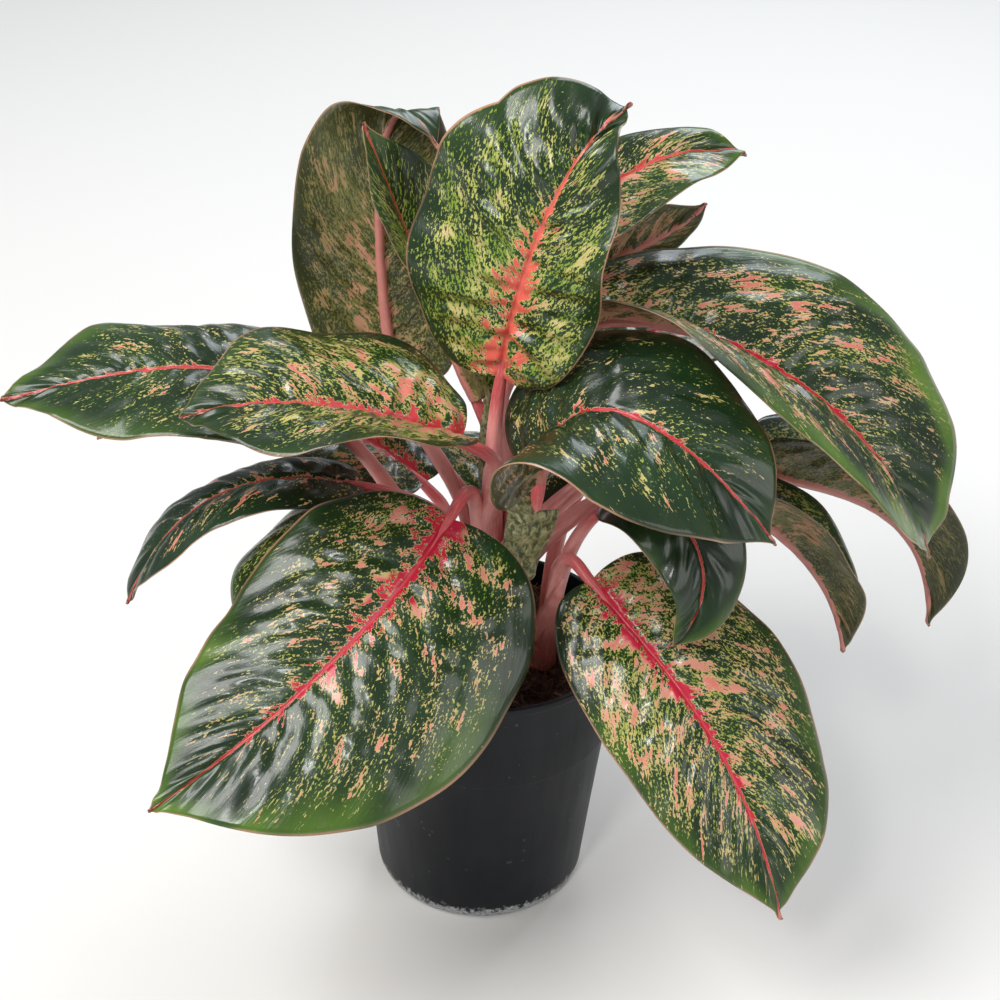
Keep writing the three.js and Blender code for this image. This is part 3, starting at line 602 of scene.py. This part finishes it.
def blade_surface(leaf, row, side):
    """The blade's upper face. Row runs from the neck (0) to the tip (1), side from the
    left margin (-1) to the right (1). The outline is an ellipse pulled to an egg and a
    drawn-out tip, a little uneven. The rows fan out to it: back near the neck, ahead
    further on. Each half is an arc that rises by its fold and bends down by its curl,
    and the margin waves. The second result is the distance across from the midrib, the
    third the distance along it."""
    length = leaf["line"][0][-1]
    reach, right_hand = np.abs(side), side >= 0
    angle = np.pi * row ** 0.75
    ahead, sine = (1 - np.cos(angle)) / 2, np.maximum(np.sin(angle), 0)
    outline = sine ** (1 + 1.5 * ahead ** 4) * (1 + leaf["egg"] * np.cos(angle))
    margin = ahead - 0.1 * sine * (1 - ahead) ** 3
    distance = length * (row + (margin - row) * reach ** 1.3)
    of_hand = lambda pairs, part: np.where(
        right_hand, along(pairs, part)[..., 1], along(pairs, part)[..., 0])
    ripple = leaf["ripple"] * lumps(length * row, 0, 27, leaf["seed"] + 20) * sine
    half = leaf["half"] * (1 + ripple)
    spread = np.maximum(half * outline * of_hand(leaf["wide"], row), tip_width) * reach
    fold = np.radians(of_hand(leaf["fold"], distance / length))
    curl = np.radians(of_hand(leaf["curl"], distance / length))
    curl = np.where(np.abs(curl) < 1e-3, 1e-3, curl)
    end = fold - curl * spread / half
    out = (np.sin(fold) - np.sin(end)) / curl * half
    lift = (np.cos(end) - np.cos(fold)) / curl * half
    turns = leaf["waves"] * row + np.where(right_hand, 0.55, 0.15)
    wave = leaf["wave"] * reach ** 2 * np.sin(2 * np.pi * turns)
    wave = wave * np.sqrt(np.sin(np.pi * np.minimum(row, 1)))
    point, _, up, right = rib_frame(leaf, distance)
    point = point + right * (np.sign(side) * (out - wave * np.sin(end)))[..., None]
    return point + up * (lift + wave * np.cos(end))[..., None], np.sign(side) * spread, length * row


def facing(grid):
    """The way a grid of points faces: across it crossed with along it."""
    return unit(np.cross(np.gradient(grid, axis=1), np.gradient(grid, axis=0)))


def quilting(leaf, row, side, start):
    """How near each point lies to a side vein (0 to 1), and how far it is puffed out
    between two veins, in millimetres. Start is where on the midrib the point's vein
    starts, as a share of its length. The veins alternate left and right, and swing."""
    reach = np.abs(side)
    count = 5 + leaf["line"][0][-1] / 32
    phase = count * start + np.where(side < 0, 0, 0.5) + 0.16 * np.sin(5 * start + 9 * leaf["seed"])
    near = np.abs(2 * (phase % 1) - 1)
    strength = np.sin(np.pi * np.minimum(reach ** 0.75, 1)) * (1.02 - row) ** 0.3
    strength = strength * np.clip(row / 0.06, 0, 1)
    return near, (0.5 + 0.016 * leaf["half"]) * strength * (1 - near ** 2.4)


def sheet(upper, lower):
    """Two grids of points as the faces of one closed sheet: the upper one, the lower one
    turned over, and a strip between their outer points all the way round."""
    rows, wide = upper.shape[:2]
    count = rows * wide
    index = np.arange(count).reshape(rows, wide)
    ring = np.concatenate([index[0], index[1:, -1], index[-1, -2::-1], index[-2:0:-1, 0]])
    after = np.roll(ring, -1)
    strip = np.stack([after, ring, ring + count, after + count], -1)
    faces = np.vstack([grid_faces(rows, wide), grid_faces(rows, wide, count)[:, ::-1], strip])
    return np.concatenate([upper.reshape(-1, 3), lower.reshape(-1, 3)]), faces.tolist()


def doubled(values):
    """One value for each point of a sheet: the same on its upper and its lower face."""
    return np.concatenate([values.ravel(), values.ravel()])


def blade_mesh(leaf, rows, columns):
    """Upper and lower face of a blade, closed by a rim all round. The lower face lies a
    skin below the upper, lower still along the midrib, which stands out as a round rib,
    and a little at each side vein. The upper face is puffed out between its veins, which
    lean to the tip, dented and bent by chance waves, and grooved over the midrib."""
    row = np.maximum(np.linspace(0, 1, rows) ** 1.3, 0.0004)[:, None] + np.zeros((1, 2 * columns + 1))
    step = np.linspace(-1, 1, 2 * columns + 1)
    side = (np.sign(step) * np.abs(step) ** 1.45)[None, :] + np.zeros((rows, 1))
    bare, across, run = blade_surface(leaf, row, side)
    length = leaf["line"][0][-1]
    reach = np.abs(side)
    lean = np.abs(across) * (1 - 0.6 * row ** 3)
    vein_run = run - lean * (0.55 + 0.45 * reach)
    near, puff = quilting(leaf, row, side, vein_run / length)
    inner = np.sin(np.pi * np.minimum(reach ** 0.6, 1))
    sway = 1.5 * reach * lumps(across, run, 46, leaf["seed"])
    sway = leaf["sway"] * (sway + 0.8 * reach ** 6 * lumps(run, 0, 19, leaf["seed"] + 9))
    pucker = leaf["pucker"] * (0.2 + inner) * lumps(0.5 * across, run, 8, leaf["seed"] + 50)
    groove = 0.7 * np.exp(-(across / 1.1) ** 2) - 0.35 * np.exp(-((np.abs(across) - 2.4) / 1.1) ** 2)
    groove = groove * (1 - 0.85 * row) * np.clip(row / 0.05, 0, 1)
    calm = np.clip(row / 0.05, 0, 1) * np.clip((1 - row) / 0.10, 0, 1)
    upper = bare + facing(bare) * ((puff + sway + pucker) * calm - groove * calm)[..., None]
    rib = rib_height * (1 - 0.85 * row) * np.clip((1 - row) / 0.12, 0, 1)
    rib = rib * np.exp(-(across / (2.3 - 1.5 * row)) ** 2)
    veins = 0.22 * near ** 9 * np.clip(1.1 - reach, 0, 1) * np.clip(reach / 0.08, 0, 1)
    edge = np.minimum((1 - reach) / 0.05, 1) * np.minimum((1 - row) / 0.02, 1)
    thick = skin * (0.35 + 0.65 * np.clip(edge, 0, 1)) - np.minimum(groove, 0) * calm
    lower = upper - facing(upper) * (thick + rib + veins)[..., None]
    own = np.full(2 * row.size, 37.0 * leaf["seed"])
    below = np.repeat([0.0, 1.0], row.size)
    fields = {
        "place": np.stack([doubled(across), doubled(run - 0.3 * lean), own], -1),
        "lean": doubled(-lean * (0.25 + 0.45 * reach)),
        "blade": np.stack([doubled(row), doubled(reach), below], -1),
        "vein": doubled(near)}
    return *sheet(upper, lower), fields


# The flecked skin, as one group for every blade. Its patterns lie in millimetres across
# and along the blade. All lean a little towards the tip, and the streaks, which are drawn
# out to twice their breadth, lean as much as the side veins do.
flecked = bpy.data.node_groups.new("flecked leaf skin", "ShaderNodeTree")
leaf_looks = ("Flecks", "Blotches", "Salmon", "Feather", "Yellow", "Coral", "Lime", "Rib")
for name in leaf_looks:
    flecked.interface.new_socket(name, in_out="INPUT", socket_type="NodeSocketFloat")
for name, kind in (("Colour", "Color"), ("Roughness", "Float"), ("Height", "Float")):
    flecked.interface.new_socket(name, in_out="OUTPUT", socket_type="NodeSocket" + kind)
tree = flecked
given = tree.nodes.new("NodeGroupInput").outputs
place = carried(tree, "place", "Vector")
blade = carried(tree, "blade", "Vector")
row, edge, below = node(tree, "SeparateXYZ", {0: blade}).outputs
vein = carried(tree, "vein")
lean = node(tree, "CombineXYZ", {"Y": carried(tree, "lean")})
by_veins = node(tree, "VectorMath", {0: place, 1: lean.outputs[0]}).outputs[0]
across = calc(tree, "ABSOLUTE", node(tree, "SeparateXYZ", {0: place}).outputs["X"])


def drawn_out(across_scale, along_scale, shift, start=place):
    """The place on the blade, scaled across and along and shifted to another pattern."""
    inputs = {"Vector": start, "Scale": (across_scale, along_scale, 1), "Location": (shift, shift, 0)}
    return node(tree, "Mapping", inputs).outputs[0]


def scaled(value, by):
    """A value about its middle, one half, times a number: how far it goes either way."""
    return times(tree, calc(tree, "SUBTRACT", value, 0.5), by)


specks = grain(tree, drawn_out(1.15, 0.95, 0), 1, 2, 0.6, 0.5)
streaks = grain(tree, drawn_out(0.27, 0.52, 20, by_veins), 1, 2, 0.55, 0.6)
blots = grain(tree, drawn_out(0.12, 0.155, 40), 1, 2, 0.55, 0.5)
broad = grain(tree, drawn_out(0.030, 0.030, 80), 1, 1, 0.5)
hue = grain(tree, drawn_out(0.05, 0.10, 120), 1, 2, 0.5)
bare_rim = times(tree, fade(tree, edge, 0.74, 0.99), -0.22)
bare_tip = plus(tree, times(tree, fade(tree, row, 0.70, 0.95), -0.50),
                times(tree, calc(tree, "SUBTRACT", row, 0.4), -0.18))
shared = plus(tree, scaled(broad, 0.45), bare_rim, bare_tip)
feather = plus(tree, times(tree, given["Feather"], calc(tree, "SUBTRACT", 1.02, row)), 0.2)
nearness = calc(tree, "POWER", 2.718, times(tree, calc(tree, "DIVIDE", across, feather), -1))
by_rib = times(tree, nearness, calc(tree, "SUBTRACT", 0.47, times(tree, row, 0.12)))
more_below = times(tree, below, 0.16)
patches = plus(tree, scaled(blots, 1.5), scaled(streaks, 1.1), scaled(specks, 0.60), shared, by_rib,
               calc(tree, "SUBTRACT", given["Blotches"], 0.80), more_below)
by_patches = times(tree, fade(tree, patches, -0.35, 0.0), 0.10)
dots = plus(tree, more_below, scaled(specks, 1.9), scaled(streaks, 0.8), scaled(blots, 0.5), shared,
            calc(tree, "SUBTRACT", given["Flecks"], 0.74), by_patches)
fleck = fade(tree, dots, 0.0, 0.05)
rib_width = plus(tree, 0.3, times(tree, given["Rib"], calc(tree, "SUBTRACT", 0.95, row)))
rib_edge = plus(tree, rib_width, times(tree, scaled(streaks, 4), calc(tree, "SUBTRACT", 1.0, row)))
inside_rib = calc(tree, "SUBTRACT", rib_edge, across)
rib = fade(tree, inside_rib, -0.15, 0.15)
on_rib = plus(tree, times(tree, inside_rib, 0.11), times(tree, row, -0.04))
patches = calc(tree, "MAXIMUM", patches, on_rib)
halo = fade(tree, patches, -0.055, -0.025)
core = fade(tree, patches, 0.012, 0.034)
rib_crest = fade(tree, across, 0.8, 0.1)
pink = fade(tree, plus(tree, hue, times(tree, given["Salmon"], 0.5)), 0.66, 0.74)
redness = fade(tree, plus(tree, nearness, scaled(hue, 0.9)), 0.16, 0.34)
thin_edge = times(tree, fade(tree, edge, 0.978, 0.992), fade(tree, broad, 0.30, 0.60))


def layered(greens, flecks, halos, pinks, reds, crest, edges):
    """One face's colours, laid over each other from the green up to the brown tip."""
    colour = tint(tree, fade(tree, broad, 0.25, 0.75), *greens)
    colour = tint(tree, times(tree, fade(tree, vein, 0.80, 1), 0.5), colour, greens[1])
    colour = tint(tree, fleck, colour, flecks)
    colour = tint(tree, halo, colour, halos)
    colour = tint(tree, times(tree, core, pink), colour, pinks)
    colour = tint(tree, times(tree, core, redness), colour, reds)
    colour = tint(tree, rib, colour, reds)
    colour = tint(tree, times(tree, rib_crest, rib, 0.4), colour, crest)
    colour = tint(tree, thin_edge, colour, edges)
    return tint(tree, fade(tree, row, 0.955, 0.995), colour, (0.17, 0.040, 0.026, 1))


yellow, coral = given["Yellow"], given["Coral"]
lime = fade(tree, plus(tree, edge, scaled(broad, 0.4)), 0.70, 1.0)
lime = times(tree, lime, fade(tree, plus(tree, row, scaled(broad, 0.7)), 0.15, 0.72))
lime = calc(tree, "MAXIMUM", lime, fade(tree, plus(tree, row, scaled(hue, 0.5)), 0.80, 1.05))
lime = times(tree, given["Lime"], lime)
dark = tint(tree, yellow, (0.0048, 0.0150, 0.0060, 1), (0.0085, 0.024, 0.005, 1))
mid = tint(tree, yellow, (0.0115, 0.036, 0.0115, 1), (0.022, 0.060, 0.008, 1))
dark = tint(tree, lime, dark, (0.052, 0.120, 0.011, 1))
mid = tint(tree, lime, mid, (0.115, 0.215, 0.017, 1))
lit = tint(tree, fade(tree, hue, 0.4, 0.62), (0.17, 0.27, 0.024, 1), (0.42, 0.45, 0.10, 1))
creamy = times(tree, given["Salmon"], fade(tree, blots, 0.3, 0.7))
lit = tint(tree, creamy, lit, (0.56, 0.43, 0.17, 1))
straw = tint(tree, fade(tree, hue, 0.35, 0.65), (0.47, 0.42, 0.13, 1), (0.58, 0.44, 0.22, 1))
rosy = tint(tree, fade(tree, hue, 0.35, 0.65), (0.68, 0.29, 0.215, 1), (0.66, 0.165, 0.125, 1))
reds = tint(tree, coral, (0.50, 0.0125, 0.040, 1), (0.72, 0.125, 0.085, 1))
crest = tint(tree, 0.35, reds, (0.80, 0.24, 0.22, 1))
upper_colour = layered((dark, mid), lit, straw, rosy, reds, crest, (0.46, 0.25, 0.15, 1))
lower_colour = layered(
    ((0.022, 0.029, 0.006, 1), (0.050, 0.056, 0.012, 1)), (0.145, 0.140, 0.035, 1), (0.31, 0.205, 0.09, 1),
    (0.42, 0.21, 0.12, 1), (0.50, 0.175, 0.135, 1), (0.62, 0.25, 0.22, 1), (0.30, 0.18, 0.10, 1))
taken = tree.nodes.new("NodeGroupOutput")
tree.links.new(tint(tree, below, upper_colour, lower_colour), taken.inputs["Colour"])
cells = node(tree, "TexVoronoi", {"Vector": place, "Scale": 1.1}, feature="DISTANCE_TO_EDGE")
cells = cells.outputs["Distance"]
crinkle = grain(tree, drawn_out(0.27, 0.52, 20, by_veins), 1, 2, 0.55)
skin_height = plus(tree, times(tree, cells, 0.35), times(tree, crinkle, 1.6))
tree.links.new(skin_height, taken.inputs["Height"])
matt = plus(tree, 0.22, times(tree, blots, 0.16), times(tree, below, 0.20))
tree.links.new(matt, taken.inputs["Roughness"])

for number, leaf in enumerate(leaves):
    leaf.update(usual | leaf, seed=number + 1, line=rib_line(leaf["rib"]))
    rows, columns = int(60 + leaf["line"][0][-1] / 2), int(14 + leaf["half"] / 4)
    points, faces, fields = blade_mesh(leaf, rows, columns)
    look, tree, shader = finish("leaf " + leaf["name"].replace("_", " "), IOR=1.42, Coat_Roughness=0.13)
    skin_group = node(tree, "Group", node_tree=flecked)
    for key, value in zip(leaf_looks, leaf["look"]):
        skin_group.inputs[key].default_value = value
    tree.links.new(skin_group.outputs["Colour"], shader.inputs["Base Color"])
    tree.links.new(skin_group.outputs["Roughness"], shader.inputs["Roughness"])
    bumped(tree, shader, skin_group.outputs["Height"], 0.6, 0.0002)
    shader.inputs["Coat Weight"].default_value = 0.35
    piece("leaf_" + leaf["name"], points, faces, look, ["blade_" + leaf["name"]], fields)


# Shoots: three short pink canes, ringed where old leaves fell, and on them the stalks of
# the leaves, grown as one with them. Each stalk is a broad open sheath below, grooved
# on the side that faces the cane, and closes to a round stalk before the blade.
canes = {"shoot_main": ([-4, 0], [2, -2, 192], 8.5), "shoot_left": ([-26, 10], [-24, 8, 150], 6.5),
         "shoot_right": ([24, -6], [26, -8, 136], 6.5)}
cane_floor, rooted = 87.3, 18


def stalk_path(leaf, cane_foot, cane_top):
    """The stalk's middle line, from inside the cane along a cubic curve to the blade's
    neck and on under its first eighth, with the radius, the open side and how far along
    the stalk it is (0 to 1) at each point."""
    start = np.array(leaf["start"], float)
    end, forward, up, _ = (value[0] for value in rib_frame(leaf, np.array([-neck - 0.3])))
    end = end - up
    pull = np.linalg.norm(end - start) * 0.4
    lean = unit(unit(end - start) * 0.5 + [0, 0, 0.7])
    t = np.linspace(0, 1, 70)[:, None]
    rise = cubic(start, start + lean * pull, end - forward * pull, end, t)
    sunk = np.linspace(1, 0, 14)[:-1, None]
    level = (start[2] - rooted - cane_floor) / (cane_top[2] - cane_floor)
    core = np.array([*cane_foot, 0]) * (1 - level) + np.array([*cane_top[:2], 0]) * level
    rise = np.vstack([start - [0, 0, rooted] * sunk + (core - [start[0], start[1], 0]) * sunk ** 1.6, rise])
    under = np.linspace(-neck, 0.13 * leaf["line"][0][-1], 26)[1:]
    point, _, ups, _ = rib_frame(leaf, under)
    sink = 1 + 0.9 * np.clip(under / 12, 0, 1)
    line = np.vstack([rise, point - ups * sink[:, None]])
    radius = np.concatenate([
        5.6 - 1.8 * sunk[:, 0], 5.6 + (2.7 - 5.6) * t[:, 0] ** 0.6,
        np.interp(under, [-neck, 0, under[-1]], [2.7, 2.3, 1.0])])
    inward = np.array(cane_top[:2]) - start[:2] - 0.2 * end[:2]
    inward = unit(np.array([*inward, 0.02]))
    share = np.concatenate([0 * sunk[:, 0], t[:, 0], np.ones(len(under))])
    return line, radius, inward * (1 - share[:, None]) + up * share[:, None], share


def tube(line, radius, open_side, share, sides, groove):
    """A section carried along a line. It is a circle of the given radius whose open side
    dips in by the groove's share, with a lip on each side of the dip."""
    way = unit(np.gradient(line, axis=0))
    top = unit(open_side - way * (open_side * way).sum(-1, keepdims=True))
    right = np.cross(way, top)
    turn = np.linspace(-np.pi, np.pi, sides, endpoint=False)[None, :]
    depth = groove[:, None]
    lips = 0.22 * np.exp(-((np.abs(turn) - 0.85) / 0.28) ** 2)
    dip = depth * (np.exp(-(turn / 0.55) ** 2) - lips)
    r = radius[:, None] * (1 - dip)
    rings = line[:, None] + top[:, None] * (r * np.cos(turn))[..., None]
    rings = rings + right[:, None] * (r * np.sin(turn))[..., None]
    points = np.vstack([rings.reshape(-1, 3), line[:1], line[-1:]])
    run = distances(line)
    about = np.broadcast_to(turn, (len(line), sides))
    run_all, share_all = (np.repeat(values[:, None], sides, 1) for values in (run, share))
    fields = np.stack([about * 3, run_all, share_all], -1)
    fields = np.vstack([fields.reshape(-1, 3), [[0, 0, share[0]], [0, run[-1], share[-1]]]])
    return points, ring_faces(len(line), sides, outward=-1), fields


stalk_look, tree, shader = finish("pink stalk", IOR=1.42, Coat_Roughness=0.2)
stalk = carried(tree, "stalk", "Vector")
share = node(tree, "SeparateXYZ", {0: stalk}).outputs["Z"]
length_wise = node(tree, "Mapping", {"Vector": stalk, "Scale": (1, 0.05, 0)}).outputs[0]
lines = grain(tree, length_wise, 2.2, 3, 0.6)
here = node(tree, "TexCoord").outputs["Object"]
blotches = grain(tree, here, 90, 3, 0.6)
flesh = tint(tree, fade(tree, share, 0.0, 0.45), (0.50, 0.135, 0.125, 1), (0.76, 0.29, 0.265, 1))
flesh = tint(tree, fade(tree, share, 0.75, 1), flesh, (0.62, 0.09, 0.10, 1))
flesh = tint(tree, times(tree, fade(tree, lines, 0.45, 0.75), 0.5), flesh, (0.80, 0.46, 0.40, 1))
bruised = times(tree, fade(tree, blotches, 0.55, 0.75), 0.35)
flesh = tint(tree, bruised, flesh, (0.34, 0.07, 0.065, 1))
tree.links.new(flesh, shader.inputs["Base Color"])
tree.links.new(plus(tree, 0.3, times(tree, blotches, 0.2)), shader.inputs["Roughness"])
shader.inputs["Coat Weight"].default_value = 0.3
bumped(tree, shader, lines, 0.3, 0.0004)

for name, (cane_foot, cane_top, cane_radius) in canes.items():
    t = np.linspace(0, 1, 90)
    line = np.array([*cane_foot, cane_floor]) * (1 - t[:, None]) + np.array(cane_top, float) * t[:, None]
    rings = (line[:, 2] / 9.5) % 1
    radius = cane_radius * (1 - 0.15 * t ** 0.6) + 0.45 * np.exp(-((rings - 0.5) / 0.1) ** 2)
    radius = radius * np.sqrt(1 - np.clip((t - 0.86) / 0.142, 0, 1) ** 2)
    parts = [tube(line, radius, np.tile([0.0, 1, 0], (90, 1)), 0.25 * t, 26, np.zeros(90))]
    for leaf in (leaf for leaf in leaves if leaf["shoot"] == name):
        line, radius, open_side, share = stalk_path(leaf, cane_foot, cane_top)
        groove = 0.1 + 0.55 * np.clip((0.62 - share) / 0.4, 0, 1)
        parts.append(tube(line, radius, open_side, share, 24, groove))
    points, faces = joined([part[:2] for part in parts])
    fields = {"stalk": np.vstack([part[2] for part in parts])}
    piece(name + "_stalks", points, faces, stalk_look, [name], fields)


# Bare sheaths: skins that wrapped younger stalks, an old one that has opened, dried and
# mottled olive, with its end flopped over, the torn pink end on the lowest stalk to the
# right, and the pale pointed sheath of the next leaf. All are thin gutters on the shoots.
sheaths = [
    dict(name="old", end=0.05,
         rib=[[17.5, -20.0, 169.2], [16.1, -24.0, 185.1], [17.7, -28.0, 199.7], [18.9, -30.0, 210.8]],
         face=[[0.15, -0.9, 0.3]], half=[4.5, 9, 10.3, 10.6], wrap=[150, 100, 80, 60]),
    dict(name="flap", end=0.06,
         rib=[[18.5, -31.0, 211.0], [14.3, -33.5, 215.8], [9.7, -35.5, 220.7], [4.3, -37.0, 227.1]],
         face=[[0.4, -0.7, 0.6], [0.1, -0.9, 0.5]], half=[7, 6, 5.4, 2.2], wrap=[40, 40, 50, 40]),
    dict(name="torn", end=0.0, look="stalk",
         rib=[[20.9, -12.0, 133.0], [26.4, -13.0, 148.9], [30.2, -15.0, 160.0], [32.8, -16.0, 168.6]],
         face=[[-0.3, -0.8, 0.4]], half=[4.6, 4.4, 3.2, 0.5], wrap=[170, 150, 120, 60]),
    dict(name="young", end=0.0,
         rib=[[1, 2, 196], [0, 3, 222], [-1, 3, 238], [-2, 2, 251]],
         face=[[0.5, -0.9, 0.1]], half=[4.5, 4.5, 3.4, 0.5], wrap=[160, 150, 140, 90])]
sheath_look, tree, shader = finish("mottled sheath", Roughness=0.42)
place = carried(tree, "stalk", "Vector")
stretched = node(tree, "Mapping", {"Vector": place, "Scale": (0.55, 0.25, 1)}).outputs[0]
mottle = grain(tree, stretched, 1, 4, 0.65, 0.6)
skin_colour = tint(tree, fade(tree, mottle, 0.38, 0.58), (0.042, 0.052, 0.017, 1), (0.26, 0.25, 0.105, 1))
skin_colour = tint(tree, fade(tree, mottle, 0.56, 0.72), skin_colour, (0.55, 0.46, 0.29, 1))
tree.links.new(skin_colour, shader.inputs["Base Color"])
bumped(tree, shader, mottle, 0.5, 0.0005)


def gutter(leaf, rows, columns):
    """A sheet bent to a gutter. Its middle follows the midrib line; across, it is an arc
    of the given half width that wraps through the given angle, hollow to the back; its
    end is ragged, and it is crumpled a little."""
    row = np.linspace(0, 1, rows)[:, None] + np.zeros((1, columns))
    side = np.linspace(-1, 1, columns)[None, :] + np.zeros((rows, 1))
    length = leaf["line"][0][-1]
    half, wrap = (along(np.array(leaf[key])[:, None], row)[..., 0] for key in ("half", "wrap"))
    bend = np.radians(wrap) / 2
    run = length * row * (1 + leaf["end"] * lumps(6 * side, 0, 7, leaf["seed"]) * row ** 4)
    point, _, up, right = rib_frame(leaf, run)
    out = half * np.sin(bend * side) / np.sin(np.minimum(bend, np.pi / 2))
    back = half * (1 - np.cos(bend * side)) / np.sin(np.minimum(bend, np.pi / 2))
    upper = point + right * out[..., None] - up * back[..., None]
    upper = upper + up * (0.5 * lumps(half * side, run, 9, leaf["seed"] + 4) * np.sqrt(row))[..., None]
    fields = {"stalk": np.stack([doubled(half * side), doubled(run), np.full(2 * row.size, 0.3)], -1)}
    return *sheet(upper, upper - facing(upper) * 0.7), fields


for number, leaf in enumerate(sheaths):
    leaf.update(seed=90 + number, line=rib_line(leaf["rib"]))
    points, faces, fields = gutter(leaf, 60, 31)
    look = stalk_look if leaf.get("look") else sheath_look
    piece("sheath_" + leaf["name"], points, faces, look, fields=fields)


size = {"cad": [list(corner) for corner in cad_box], "visual": [list(corner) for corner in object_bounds()]}
